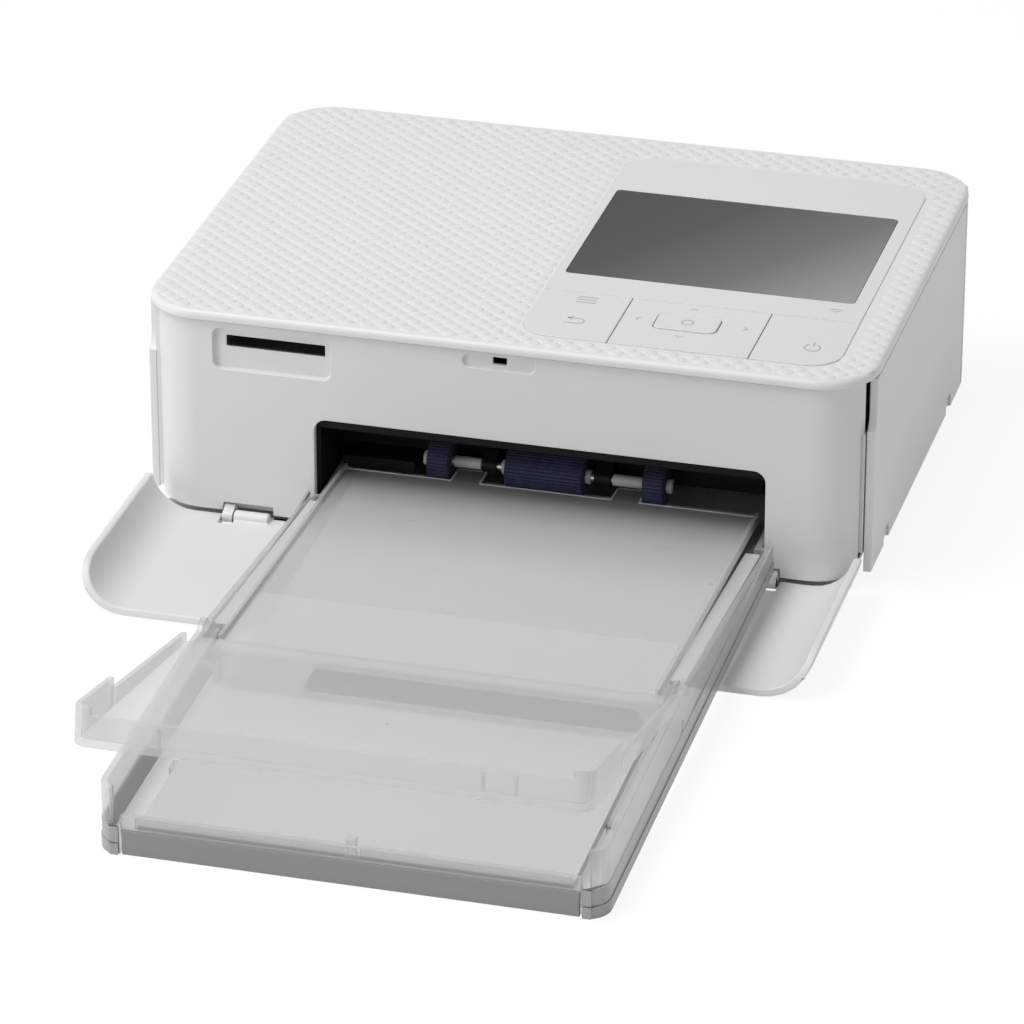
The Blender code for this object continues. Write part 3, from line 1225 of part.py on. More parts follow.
def make_thermal_head(root):
    """The print head over the platen and its finned heat sink, which lift together."""
    axis = pivot("thermal_head_axis", (0, PLATEN_Y, HEAD_BOTTOM), root)
    half = HEAD_WIDTH / 2
    contact = HEAD_CONTACT_WIDTH / 2
    shoulder = HEAD_BOTTOM + HEAD_CHAMFER
    outline = [(PLATEN_Y - contact, HEAD_BOTTOM), (PLATEN_Y + contact, HEAD_BOTTOM)]
    outline += [(PLATEN_Y + half, shoulder), (PLATEN_Y + half, HEAD_TOP)]
    outline += [(PLATEN_Y - half, HEAD_TOP), (PLATEN_Y - half, shoulder)]
    head = prism(outline, "X", (PAPER_LEFT - HEAD_MARGIN, PAPER_RIGHT + HEAD_MARGIN))
    keep(head, "thermal_head", "ceramic", axis)

    left = PLATEN_Y - SINK_WIDTH / 2
    base_top = SINK_BOTTOM + SINK_BASE
    top = SINK_BOTTOM + SINK_HEIGHT
    pitch = SINK_WIDTH / (SINK_FINS - 1 + SINK_FIN_SHARE)
    comb = [(left + SINK_WIDTH, SINK_BOTTOM)]
    for index in reversed(range(SINK_FINS)):
        fin = left + index * pitch
        fin_end = fin + pitch * SINK_FIN_SHARE
        comb += [(fin_end, base_top), (fin_end, top), (fin, top), (fin, base_top)]
    comb.append((left, SINK_BOTTOM))
    sink = prism(comb, "X", (LEFT_FRAME_X + GAP, RIGHT_FRAME_X - GAP))
    tab_x = (LEFT_FRAME_OUT - GAP, RIGHT_FRAME_OUT + GAP)
    tab_y = (PLATEN_Y - SINK_TAB_WIDTH / 2, PLATEN_Y + SINK_TAB_WIDTH / 2)
    tab_low = SINK_BOTTOM + SINK_TAB_BOTTOM
    for end_x in ((tab_x[0], LEFT_FRAME_X + CUT), (RIGHT_FRAME_X - CUT, tab_x[1])):
        add(sink, box(end_x, tab_y, (tab_low, tab_low + SINK_TAB_HEIGHT)))
    keep(sink, "heat_sink", "heat_sink_alloy", axis)


def barrel(centre_y, slot_middle):
    """One C-shaped barrel of the ink cassette, open along its slot."""
    centre = (centre_y, BARREL_Z)
    start = slot_middle + BARREL_SLOT
    end = slot_middle + 2 * HALF_TURN - BARREL_SLOT
    outline = arc(centre, BARREL_RADIUS, start, end, ROUND_STEPS)
    outline += arc(centre, BARREL_RADIUS - BARREL_WALL, end, start, ROUND_STEPS)
    overlap_x = (INK_LEFT + INK_END_LEFT / 2, INK_RIGHT - INK_END_RIGHT / 2)
    return prism(outline, "X", overlap_x)


def ink_end_outline():
    """An end plate of the ink cassette: an arch over the print head."""
    outer_front = SUPPLY_Y - BARREL_RADIUS
    outer_back = TAKE_UP_Y + BARREL_RADIUS
    outline = arc((TAKE_UP_Y, BARREL_Z), BARREL_RADIUS, -QUARTER_TURN, QUARTER_TURN)
    outline += arc((SUPPLY_Y, BARREL_Z), BARREL_RADIUS, QUARTER_TURN, 3 * QUARTER_TURN)
    bottom = BARREL_Z - BARREL_RADIUS
    outline += [(PLATEN_Y - INK_ARCH, bottom), (PLATEN_Y - INK_ARCH, INK_ARCH_TOP)]
    outline += [(PLATEN_Y + INK_ARCH, INK_ARCH_TOP), (PLATEN_Y + INK_ARCH, bottom)]
    return [(min(max(y, outer_front), outer_back), z) for y, z in outline]


def make_ink_cassette(root):
    """The ink cassette: two barrels, their end plates, the film and two spools."""
    carrier = pivot("ink_cassette_axis", (INK_RIGHT, PLATEN_Y, BARREL_Z), root)
    case = prism(ink_end_outline(), "X", (INK_LEFT, INK_LEFT + INK_END_LEFT))
    tubes = barrel(SUPPLY_Y, BARREL_SLOT_ANGLE)
    add(tubes, prism(ink_end_outline(), "X", (INK_RIGHT - INK_END_RIGHT, INK_RIGHT)))
    add(tubes, barrel(TAKE_UP_Y, HALF_TURN - BARREL_SLOT_ANGLE))
    add(case, tubes)
    for centre_y in (SUPPLY_Y, TAKE_UP_Y):
        span = (INK_LEFT - CUT, INK_RIGHT + CUT)
        for end_x in ((span[0], INK_LEFT + INK_END_LEFT + CUT), (INK_RIGHT - 2 * CUT, span[1])):
            cut(case, rod((centre_y, BARREL_Z), JOURNAL + BORE_FIT, "X", end_x))
    keep(case, "ink_cassette", "ink_case", carrier)

    lowest = []
    for centre_y, roll, side in ((SUPPLY_Y, SUPPLY_ROLL, 1), (TAKE_UP_Y, TAKE_UP_ROLL, -1)):
        reach = roll + GAP
        angle = BARREL_SLOT_ANGLE
        start_y = centre_y + side * reach * math.cos(angle)
        start_z = BARREL_Z + reach * math.sin(angle)
        bend_y = PLATEN_Y - side * SINK_WIDTH / 2
        lowest.append([(start_y, start_z), (bend_y, FILM_BOTTOM)])
    path = lowest[0] + lowest[1][::-1]
    outline = path + [(y, z + FILM_THICK) for y, z in reversed(path)]
    film = prism(outline, "X", (PAPER_LEFT - FILM_MARGIN, PAPER_RIGHT + FILM_MARGIN))
    keep(film, "ink_ribbon", "ink_film", carrier)

    rolls = {"supply_spool": (SUPPLY_Y, SUPPLY_ROLL), "take_up_spool": (TAKE_UP_Y, TAKE_UP_ROLL)}
    for name, (centre_y, roll) in rolls.items():
        left = INK_LEFT + INK_END_LEFT + GAP
        right = INK_RIGHT - INK_END_RIGHT - GAP
        profile = [(INK_LEFT - SPOOL_OVERHANG, 0), (INK_LEFT - SPOOL_OVERHANG, JOURNAL)]
        profile += [(left, JOURNAL), (left, FLANGE_RADIUS), (left + FLANGE_THICK, FLANGE_RADIUS)]
        profile += [(left + FLANGE_THICK, roll), (right - FLANGE_THICK, roll)]
        profile += [(right - FLANGE_THICK, FLANGE_RADIUS), (right, FLANGE_RADIUS)]
        profile += [(right, JOURNAL), (INK_RIGHT + SPOOL_OVERHANG, JOURNAL)]
        profile.append((INK_RIGHT + SPOOL_OVERHANG, 0))
        axis_place = (-INK_RIGHT, centre_y - PLATEN_Y, 0)
        axis = pivot(name + "_axis", axis_place, carrier)
        spool = turned(profile, "X", (centre_y - PLATEN_Y, 0))
        spool.data.transform(Matrix.Translation((-INK_RIGHT, 0, 0)))
        keep(spool, name, "spool_white", axis)


def make_eject_lever(root):
    """The small lever beside the ink cassette, on a stud of the right frame."""
    axis = pivot("eject_lever_axis", (RIGHT_FRAME_OUT, LEVER_Y, LEVER_Z), root)
    foot = (LEVER_Y, LEVER_Z)
    top = (LEVER_Y + LEVER_LEAN, LEVER_Z + LEVER_LENGTH)
    lean = math.atan2(LEVER_LEAN, LEVER_LENGTH)
    outline = arc(top, LEVER_RADIUS, -lean, HALF_TURN - lean)
    outline += arc(foot, LEVER_RADIUS, HALF_TURN - lean, 2 * HALF_TURN - lean)
    x = (RIGHT_FRAME_OUT + GAP, RIGHT_FRAME_OUT + GAP + LEVER_THICK)
    lever = prism(outline, "X", x)
    thumb = (x[0], x[1] + LEVER_THICK)
    add(lever, rod(top, LEVER_RADIUS * 3 / 4, "X", thumb))
    cut(lever, rod(foot, LEVER_STUD + BORE_FIT, "X", (x[0] - CUT, x[1] + CUT)))
    keep(lever, "eject_lever", "black_plastic", axis)


def tray_outline(inset):
    """The tray's plan: a narrow tongue at the back and round corners in front."""
    half = TRAY_HALF - inset
    tongue = TRAY_TONGUE_HALF - inset
    front = inset - TRAY_LENGTH
    step = -TRAY_TONGUE - inset
    back = CUT if inset else 0
    radius = TRAY_CORNER - inset
    outline = [(tongue, back), (-tongue, back), (-tongue, step), (-half, step)]
    outline += arc((radius - half, front + radius), radius, HALF_TURN, 3 * QUARTER_TURN)
    outline += arc((half - radius, front + radius), radius, 3 * QUARTER_TURN, 4 * QUARTER_TURN)
    outline.append((half, step))
    outline.append((tongue, step))
    return outline


def both_sides(inner, outer):
    """A span on X and its mirror image."""
    return ((inner, outer), (-outer, -inner))


def make_tray(cassette):
    """The clear tray of the paper cassette."""
    tall = LID_PIVOT_Z + EAR_RADIUS + CUT
    tray = prism(tray_outline(0), "Z", (0, TRAY_HIGH))
    cut(tray, prism(tray_outline(TRAY_WALL), "Z", (TRAY_FLOOR, tall)))
    wide = (-2 * TRAY_HALF, 2 * TRAY_HALF)
    above = [(CUT, TRAY_LOW), (CUT, tall), (-TRAY_HIGH_FROM, tall), (-TRAY_HIGH_FROM, TRAY_HIGH)]
    above.append((-TRAY_TONGUE, TRAY_LOW))
    cut(tray, prism(above, "X", wide))
    front = -TRAY_LENGTH
    front_y = (front - CUT, front + TRAY_WALL + GAP)
    low_wall = (-STRIP_HALF - SLOT_WIDTH, STRIP_HALF + SLOT_WIDTH)
    cut(tray, box(low_wall, front_y, (TRAY_FRONT_WALL, tall)))
    for slot in both_sides(STRIP_HALF, STRIP_HALF + SLOT_WIDTH):
        cut(tray, box(slot, front_y, (TRAY_FLOOR, tall)))
    recess_y = (front - CUT, front + STRIP_THICK + GAP)
    cut(tray, box((-STRIP_HALF, STRIP_HALF), recess_y, (-CUT, STRIP_HEIGHT)))
    for ear in both_sides(TRAY_HALF - TRAY_WALL, TRAY_HALF):
        add(tray, rod((LID_PIVOT_Y, LID_PIVOT_Z), EAR_RADIUS, "X", ear, ROUND_STEPS))
        hole = (ear[0] - CUT, ear[1] + CUT)
        cut(tray, rod((LID_PIVOT_Y, LID_PIVOT_Z), PEG_RADIUS + PEG_FIT, "X", hole))
        cut(tray, rod((INNER_PIVOT_Y, INNER_PIVOT_Z), PEG_RADIUS + PEG_FIT, "X", hole))
    lug_y = (PLATE_FRONT - PLATE_LUG_LENGTH / 2, PLATE_FRONT + PLATE_LUG_LENGTH / 2)
    axis_z = PLATE_BOTTOM + PLATE_THICK / 2
    lug_inner = PAPER_HALF + GAP
    for lug_x in both_sides(lug_inner, lug_inner + PLATE_LUG_THICK):
        add(tray, box(lug_x, lug_y, (0, TRAY_FLOOR + PLATE_LUG_HEIGHT)))
        bore_x = (lug_x[0] - CUT, lug_x[1] + CUT)
        cut(tray, rod((PLATE_FRONT, axis_z), PLATE_PEG + BORE_FIT, "X", bore_x))
    keep(tray, "cassette_tray", "cassette_clear", cassette)

    strip_x = (GAP - STRIP_HALF, STRIP_HALF - GAP)
    strip = box(strip_x, (front, front + STRIP_THICK), (0, STRIP_HEIGHT - GAP))
    keep(strip, "cassette_front_strip", "cassette_grey", cassette)


def make_paper(cassette):
    """The sprung lift plate and the stack of paper on it."""
    axis_z = PLATE_BOTTOM + PLATE_THICK / 2
    axis = pivot("lift_plate_axis", (0, PLATE_FRONT, axis_z), cassette)
    plate_y = (PLATE_FRONT - PLATE_LUG_LENGTH / 2, PAPER_BACK)
    plate_top = PLATE_BOTTOM + PLATE_THICK
    plate = box((-PLATE_HALF, PLATE_HALF), plate_y, (PLATE_BOTTOM, plate_top))
    reach = PAPER_HALF + GAP + PLATE_LUG_THICK * 3 / 4
    for peg_x in both_sides(PLATE_HALF - CUT, reach):
        add(plate, rod((PLATE_FRONT, axis_z), PLATE_PEG, "X", peg_x))
    keep(plate, "lift_plate", "zinc_sheet", axis)
    stack_z = (max(PAPER_BOTTOM, plate_top + GAP), PAPER_TOP)
    stack = box((-PAPER_HALF, PAPER_HALF), (PAPER_FRONT, PAPER_BACK), stack_z)
    keep(stack, "paper_stack", "photo_paper", axis)


def make_inner_lid(cassette):
    """The sloping lid over the paper, with a windowed wall at its front."""
    axis = pivot("inner_lid_axis", (0, INNER_PIVOT_Y, INNER_PIVOT_Z), cassette)
    slope = (INNER_FRONT_TOP - INNER_BACK_TOP) / (INNER_FRONT - INNER_BACK)
    outline = [(INNER_BACK, INNER_BACK_TOP), (INNER_FRONT, INNER_FRONT_TOP)]
    outline += [(INNER_FRONT, INNER_WALL_BOTTOM), (INNER_FRONT + INNER_THICK, INNER_WALL_BOTTOM)]
    outline.append((INNER_FRONT + INNER_THICK, INNER_FRONT_TOP - INNER_THICK))
    outline.append((INNER_BACK, INNER_BACK_TOP - INNER_THICK))
    lid = prism(outline, "X", (-INNER_HALF, INNER_HALF))
    rim_y = INNER_FRONT + INNER_RIM_START
    rim_level = INNER_FRONT_TOP + slope * INNER_RIM_START
    rim = [(INNER_BACK, INNER_BACK_TOP + INNER_RIM), (rim_y, rim_level + INNER_RIM)]
    rim += [(rim_y, rim_level - GAP), (INNER_BACK, INNER_BACK_TOP - GAP)]
    for rim_x in both_sides(INNER_HALF - INNER_THICK, INNER_HALF):
        add(lid, prism(rim, "X", rim_x))
        cheek_z = (INNER_WALL_BOTTOM, INNER_FRONT_TOP - INNER_THICK)
        cheek_y = (INNER_FRONT + GAP, INNER_FRONT + CHEEK_LENGTH)
        add(lid, box(rim_x, cheek_y, cheek_z))
    peg_end = TRAY_HALF - TRAY_WALL / 2
    for peg_x in both_sides(INNER_HALF - INNER_THICK, peg_end):
        add(lid, rod((INNER_PIVOT_Y, INNER_PIVOT_Z), PEG_RADIUS, "X", peg_x))
    for tab_x in INNER_TABS:
        tab_top = INNER_BACK_TOP + slope * (TAB_BACK - INNER_BACK)
        tab = [(TAB_BACK, tab_top), (INNER_BACK - CUT, INNER_BACK_TOP - slope * CUT)]
        tab += [(y, z - INNER_THICK * 3 / 4) for y, z in reversed(tab)]
        add(lid, prism(tab, "X", tab_x))
    window_x = (INNER_WINDOW_LEFT, INNER_WINDOW_RIGHT)
    window_z = (INNER_WINDOW_BOTTOM, INNER_WINDOW_TOP)
    window = prism(rounded(window_x, window_z, INNER_WINDOW_CORNER), "Y", (INNER_FRONT - CUT, INNER_FRONT + CUT))
    cut(lid, window)
    keep(lid, "inner_lid", "cassette_clear", axis)


def make_output_lid(cassette):
    """The raised outer lid, which catches the prints; modelled from its own hinge."""
    axis = pivot("output_lid_axis", (0, LID_PIVOT_Y, LID_PIVOT_Z), cassette, -OUTPUT_RISE)
    half = OUTPUT_HALF
    radius = OUTPUT_CORNER
    front = -OUTPUT_LENGTH
    under = -OUTPUT_THICK / 2
    floor_top = OUTPUT_THICK / 2
    tall = OUTPUT_CORNER_TOP + CUT

    def plan(inset, back):
        """The tray of the lid in plan."""
        corner = radius - inset
        points = [(half - inset, back), (inset - half, back)]
        left = (inset - half + corner, front + inset + corner)
        points += arc(left, corner, HALF_TURN, 3 * QUARTER_TURN)
        points += arc((-left[0], left[1]), corner, 3 * QUARTER_TURN, 4 * QUARTER_TURN)
        return points

    lid = prism(plan(0, -OUTPUT_WIDE_FROM), "Z", (under, OUTPUT_CORNER_TOP))
    cut(lid, prism(plan(OUTPUT_THICK, 0), "Z", (floor_top, tall)))
    wide = (-2 * half, 2 * half)
    slit_y = -OUTPUT_SLIT_AT
    ramp = [(0, OUTPUT_WALL_START), (0, tall), (slit_y, tall), (slit_y, OUTPUT_WALL_END)]
    cut(lid, prism(ramp, "X", wide))
    slope = [(slit_y, OUTPUT_SLIT_TOP), (slit_y, tall), (front, tall), (front, OUTPUT_CORNER_TOP)]
    cut(lid, prism(slope, "X", wide))
    lip_x = half - OUTPUT_CORNER_PIECE
    cut(lid, box((-lip_x, lip_x), (front - CUT, slit_y), (OUTPUT_LIP, tall)))
    slit_span = (slit_y - OUTPUT_SLIT, slit_y)
    for slit_x in both_sides(half - OUTPUT_THICK - GAP, half + CUT):
        cut(lid, box(slit_x, slit_span, (floor_top, tall)))

    narrow = (-OUTPUT_EAR_OUTER, OUTPUT_EAR_OUTER)
    throat_y = (-OUTPUT_WIDE_FROM - CUT, -OUTPUT_FLOOR_FROM)
    add(lid, box(narrow, throat_y, (under, floor_top)))
    ear_inner = OUTPUT_EAR_OUTER - OUTPUT_EAR_THICK
    for side in (1, -1):
        ear_x = sorted((side * ear_inner, side * OUTPUT_EAR_OUTER))
        ear = arc((0, 0), OUTPUT_EAR_RADIUS, -QUARTER_TURN, QUARTER_TURN)
        ear += [(-OUTPUT_EAR_LENGTH, floor_top), (-OUTPUT_EAR_LENGTH, under)]
        add(lid, prism(ear, "X", ear_x))
        peg_x = sorted((side * ear_inner, side * (TRAY_HALF - TRAY_WALL / 2)))
        add(lid, rod((0, 0), PEG_RADIUS, "X", peg_x))
    lid.data.transform(Matrix.Translation(axis.location))
    keep(lid, "output_lid", "cassette_clear", axis)


def centre_on_footprint(root):
    """Move the root so that the origin is the bottom middle of everything."""
    bpy.context.view_layer.update()
    corners = []
    for thing in bpy.data.objects:
        if thing.type == "MESH":
            corners += [thing.matrix_world @ vertex.co for vertex in thing.data.vertices]
    middle_x = (min(c.x for c in corners) + max(c.x for c in corners)) / 2
    middle_y = (min(c.y for c in corners) + max(c.y for c in corners)) / 2
    root.location = (-middle_x, -middle_y, -min(c.z for c in corners))


def build():
    """Model the whole printer."""
    clear_scene()
    root = pivot("photo_printer", (0, 0, 0), None)
    make_top_cover(root)
    make_operation_panel(root)
    make_display(root)
    make_boards(root)
    make_front_shell(root)
    make_rear_shell(root)
    make_rear_sockets(root)
    make_ink_cover(root)
    make_bottom_case(root)
    make_feet(root)
    make_front_door(root)
    make_mouth(root)
    make_pickup(root)
    make_side_frames(root)
    make_bushes(root)
    make_feed(root)
    make_drive(root)
    make_thermal_head(root)
    make_ink_cassette(root)
    make_eject_lever(root)
    tilt = math.asin(CASSETTE_RISE / TRAY_LENGTH)
    place_of_tray = (CASSETTE_X, CASSETTE_BACK, CASSETTE_RISE)
    cassette = pivot("paper_cassette_frame", place_of_tray, root, tilt)
    holder = pivot("paper_cassette", (0, 0, 0), cassette)
    make_tray(holder)
    make_paper(holder)
    make_inner_lid(holder)
    make_output_lid(holder)
    centre_on_footprint(root)


build()
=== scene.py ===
"""The looks of a compact photo printer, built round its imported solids.

Lengths are in metres and +Z is up. Shapes of the printer are drawn in the body's own
frame, whose middle is at zero on X and Y, and are then moved by BODY_Y. Shapes of the
paper cassette are drawn in the cassette's frame, which is tilted. Shapes of the inner lid
are drawn from its back edge, and those of the raised output lid from its hinge.
"""
import json
import math

import bmesh
import bpy
from mathutils import Matrix, Vector


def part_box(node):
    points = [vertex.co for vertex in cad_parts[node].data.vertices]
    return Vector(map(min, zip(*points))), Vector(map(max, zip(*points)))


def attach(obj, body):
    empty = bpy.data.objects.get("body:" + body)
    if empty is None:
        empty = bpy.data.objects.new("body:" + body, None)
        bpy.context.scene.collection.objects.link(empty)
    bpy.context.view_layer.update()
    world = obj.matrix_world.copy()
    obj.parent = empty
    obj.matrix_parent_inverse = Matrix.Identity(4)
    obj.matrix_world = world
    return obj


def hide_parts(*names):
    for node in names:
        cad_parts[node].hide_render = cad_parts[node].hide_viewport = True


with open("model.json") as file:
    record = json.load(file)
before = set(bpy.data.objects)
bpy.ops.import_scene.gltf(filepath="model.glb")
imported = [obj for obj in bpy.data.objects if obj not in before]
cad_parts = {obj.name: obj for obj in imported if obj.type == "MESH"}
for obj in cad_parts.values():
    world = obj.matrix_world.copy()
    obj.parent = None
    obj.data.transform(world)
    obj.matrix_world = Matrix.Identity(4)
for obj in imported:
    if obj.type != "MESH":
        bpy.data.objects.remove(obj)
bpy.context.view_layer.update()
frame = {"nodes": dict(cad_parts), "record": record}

# Body
BODY_HALF_WIDTH = 0.0911
BODY_HALF_DEPTH = 0.0665
BODY_CORNER = 0.0142
BODY_TOP = 0.0573
LIP_BOTTOM = 0.0545
TOP_ROLL = 0.0014
TOP_SINK = 0.0003
LIP_EDGE = 0.0004
POCKET_FLOOR = 0.0554
PANEL_X = (0.0025, 0.0815)
PANEL_Y = (-0.0585, 0.053)
PANEL_CORNER = 0.008
POCKET_MARGIN = 0.00004
SCREEN_X = (0.005, 0.0778)
SCREEN_Y = (-0.0215, 0.0315)
SCREEN_INSET = 0.001
KEYS_BACK = -0.034
CUT_PAST = 0.002
BODY_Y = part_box("top_cover")[0].y + BODY_HALF_DEPTH

# Painted reflection on the screen, which pales towards its near right corner
SCREEN_SLOPE = (0.819, -0.574, 0.0)
SCREEN_DARK_AT = -0.01
SCREEN_PALE_AT = 0.0723

# Raised grain of the top cover, in staggered rows that reach past its edges
GRAIN_PITCH_X = 0.00518
GRAIN_PITCH_Y = 0.00435
GRAIN_REACH = 40
GRAIN_INPUTS = ("Half Width", "Half Length", "Half Height")
GRAIN_HALF_SIZES = (0.0024, 0.00176, 0.00052)
GRAIN_SINK = 0.00055
GRAIN_EDGE = 0.0021
GRAIN_PANEL_MARGIN = 0.0014

# Pick-up rollers, where a rib's top and a groove's floor are shares of one rib's turn
PICKUP = (-0.05, 0.01645)
ROLLER_RADIUS = 0.005
ROLLER_RIBS = 34
RIB_DEPTH = 0.0003
RIB_TOP_SHARE = 0.45
GROOVE_SHARES = (0.6, 0.85)
ROLLER_END_DRAW = 0.06
BORE_PAST = 0.001
ROLLER_BORE = 0.0013
ROLLER_CHAMFER = 0.0003
ROLLER_SPANS = {
    "pickup_roller": (-0.0016, 0.0179),
    "paper_roller_left": (-0.0213, -0.0158),
    "paper_roller_right": (0.0331, 0.0383),
}
COLLAR_RADIUS = 0.0018
COLLAR_EDGE = 0.0003
COLLAR_SPANS = ((-0.0229, -0.0214), (-0.0031, -0.0017), (0.018, 0.0194), (0.0384, 0.0399))
SLEEVE_RADIUS = 0.00145
SLEEVE_EDGE = 0.0002
SLEEVE_SPANS = ((-0.0152, -0.0083), (0.0249, 0.0325))

# Seams and the part of the door under the body
SEAM_Y = (-0.0575, -0.0556)
SEAM_CORNER = 0.0001
SEAM_RIGHT = ((0.0872, 0.0888), (0.0085, 0.0402))
SEAM_LEFT = ((-0.0893, -0.0872), (0.0042, 0.0543))
FLANGE_HALF = 0.0868
FLANGE_Y = (-0.0651, -0.0535)
FLANGE_Z = (0.0003, 0.0008)
FLANGE_CORNER = 0.0055

# Printed marks, flat on the panel
MARK_HEIGHT = 0.00003
MARK_LINE = 0.00042
MARK_JOINT_SHARE = 0.97
MENU_LINE = 0.0005
MENU_LINES_X = (0.0122, 0.0168)
MENU_LINES_Y = (-0.0347, -0.0362, -0.0377)
ARROW_BEND = (0.0155, -0.0486)
ARROW_BEND_RADIUS = 0.0014
ARROW_TAIL = (0.0122, -0.05)
ARROW_TIP = (0.0127, -0.0472)
ARROW_HEAD = ((0.0138, -0.0464), (0.0126, -0.0472), (0.0138, -0.048))
CHEVRON_LINE = 0.00028
CHEVRONS = (
    ((0.0295, -0.0425), (0.0286, -0.0434), (0.0295, -0.0443)),
    ((0.0551, -0.0417), (0.056, -0.0426), (0.0551, -0.0435)),
    ((0.0402, -0.0353), (0.0411, -0.0344), (0.042, -0.0353)),
    ((0.0402, -0.0506), (0.0411, -0.0515), (0.042, -0.0506)),
)
RING_PLACE = (0.0413, -0.043)
RING_RADIUS = 0.0014
RING_LINE = 0.0004
POWER_PLACE = (0.0734, -0.0488)
POWER_RADIUS = 0.0019
POWER_GAP = 0.6
POWER_BAR = ((0.0734, -0.0478), (0.0734, -0.0458))
SIGNAL_PLACE = (0.0745, -0.0278)
SIGNAL_RADII = (0.0011, 0.0021)
SIGNAL_SPREAD = 0.75
SIGNAL_LINE = 0.00035
SIGNAL_DOT_LENGTH = 0.00001

# Paper cassette
TRAY_LENGTH = 0.184
CASSETTE_PLACE = (0.0105, -0.045, 0.00585)
CASSETTE_TILT = math.asin(CASSETTE_PLACE[2] / TRAY_LENGTH)
LID_PIVOT = (-0.108, 0.0154)
LID_RISE = math.radians(12.7)
TRAY_HALF = 0.0582
TRAY_CORNER = 0.005
TRAY_SHOULDER = -0.0219
BASE_BAND_TOP = 0.003
SIDE_BAND_BOTTOM = 0.00295
SIDE_BAND_TOP = 0.0072
BASE_BAND_THICK = 0.00045
SIDE_BAND_THICK = 0.0002
BAND_ROOT = 0.0004
BAND_END_X = 0.0552
LEDGE_X = (0.0527, 0.0564)
LEDGE_Y = (-0.0268, -0.1035)
LEDGE_Z = (0.0073, 0.0148)
LEDGE_THICK = 0.0012
SMALL_EDGE = 0.0002
RAIL_SPANS = ((-0.0503, -0.0018), (0.0018, 0.0503))
RAIL_Y = (-0.1812, -0.1802)
RAIL_Z = (0.0016, 0.0085)
RAIL_CORNER = 0.0003
POST_X = (-0.0012, 0.0012)
POST_Y = (-0.1823, -0.1797)
POST_Z = (0.0016, 0.0108)
POST_CORNER = 0.0005
BAR_PLACES = (-0.0389, 0.0341, 0.0415)
BAR_HALF = 0.0004
BAR_Y = (-0.0901, -0.0892)
BAR_Z = (0.0006, 0.0052)
BAR_CORNER = 0.0002
INNER_LID_BACK = (-0.0105, 0.0085)
INNER_LID_DROP = 0.0074
INNER_LID_REACH = 0.1065
INNER_LID_FALL = math.atan2(INNER_LID_DROP, INNER_LID_REACH)
INNER_TABS = ((-0.0252, -0.0178), (0.0153, 0.0224))
INNER_TAB_Y = (-0.0006, 0.0072)
INNER_TAB_THICK = 0.0008
INNER_TAB_CORNER = 0.0008
INNER_BEAD_HALF = 0.0523
BEAD_INSET = 0.0002
BEAD_WIDTH = 0.0004
BEAD_ROOT = 0.0002
BEAD_HEIGHT = 0.00007
FRONT_LAYER_HALF = 0.051
FRONT_LAYER_Y = (-0.1062, -0.0745)
FRONT_LAYER_HEIGHT = 0.00006
FRONT_LAYER_CORNER = 0.002
OVAL_PLACES = ((-0.0313, -0.0225), (0.0308, -0.0215))
OVAL_RADIUS = 0.005
OVAL_GAP = 0.2
OVAL_LINE = 0.0003
OVAL_HEIGHT = 0.00012
# A dark sheet on the paper behind the inner lid's window, a painted shade for the dark seen
# through it
SHADE_SHEET_X = (-0.032, 0.051)
SHADE_SHEET_Y = (-0.1155, -0.0995)
SHADE_SHEET_Z = (0.0054, 0.0059)
SHADE_SHEET_CORNER = 0.002

# Stretch over which the inner lid darkens towards the mouth, a painted shade and a painted
# reflection of the dark mouth
MOUTH_SHADE_FROM = -0.1
MOUTH_SHADE_TO = -0.058

# Frosted plastic: its shade, its cover facing the eye and along edges, and the painted shade it
# takes on towards the mouth
CLEAR_LOOK = (0.71, 0.22, 0.62)
INNER_LOOK = (0.7, 0.36, 0.75, 0.33)
FRONT_LOOK = (0.75, 0.2, 0.5)

# Roughness of frosted plastic, from low to high, and the scale and depth of its grain
FROST_SHEEN = (0.24, 0.38)
FROST_GRAIN = (1500.0, 0.00003)

# How strongly the cover of frosted plastic grows along its edges
FROST_EDGE = 0.35

# Where the painted shade towards the mouth has its middle, and how much lighter than the mean that
# is
MOUTH_SHADE_MIDDLE = 0.55
MOUTH_SHADE_MIDDLE_LIFT = 1.1

# Share of light that frosted plastic passes beyond what it shows
LIGHT_PASSED = 0.25

# Steps round corners and curves
FINE_STEPS = 20
ROUND_STEPS = 32
RING_STEPS = 28
OVAL_STEPS = 24
MARK_STEPS = 12
BAND_STEPS = 12
ARROW_STEPS = 10
SHEET_STEPS = 8
ROLL_STEPS = 8
CORNER_STEPS = 6
POST_STEPS = 4
TRIM_STEPS = 3
SEAM_STEPS = 2
BEVEL_STEPS = 2

# Smoothness
MERGE = 1e-6
FLAT_ANGLE = math.radians(0.8)
SHARP_ANGLE = math.radians(32)
BEVEL_SHARP_ANGLE = math.radians(48)
QUARTER = math.pi / 2


# Materials


def principled(made):
    """A material's main shader."""
    return made.node_tree.nodes["Principled BSDF"]


def plain(name, colour, roughness, metallic=0.0, **sockets):
    """A Principled material; the other sockets are set by name."""
    made = bpy.data.materials.new(name)
    made.use_nodes = True
    shader = principled(made)
    shader.inputs["Base Color"].default_value = (*colour, 1.0)
    shader.inputs["Roughness"].default_value = roughness
    shader.inputs["Metallic"].default_value = metallic
    for label, value in sockets.items():
        shader.inputs[label.replace("_", " ")].default_value = value
    made.diffuse_color = (*colour, 1.0)
    return made


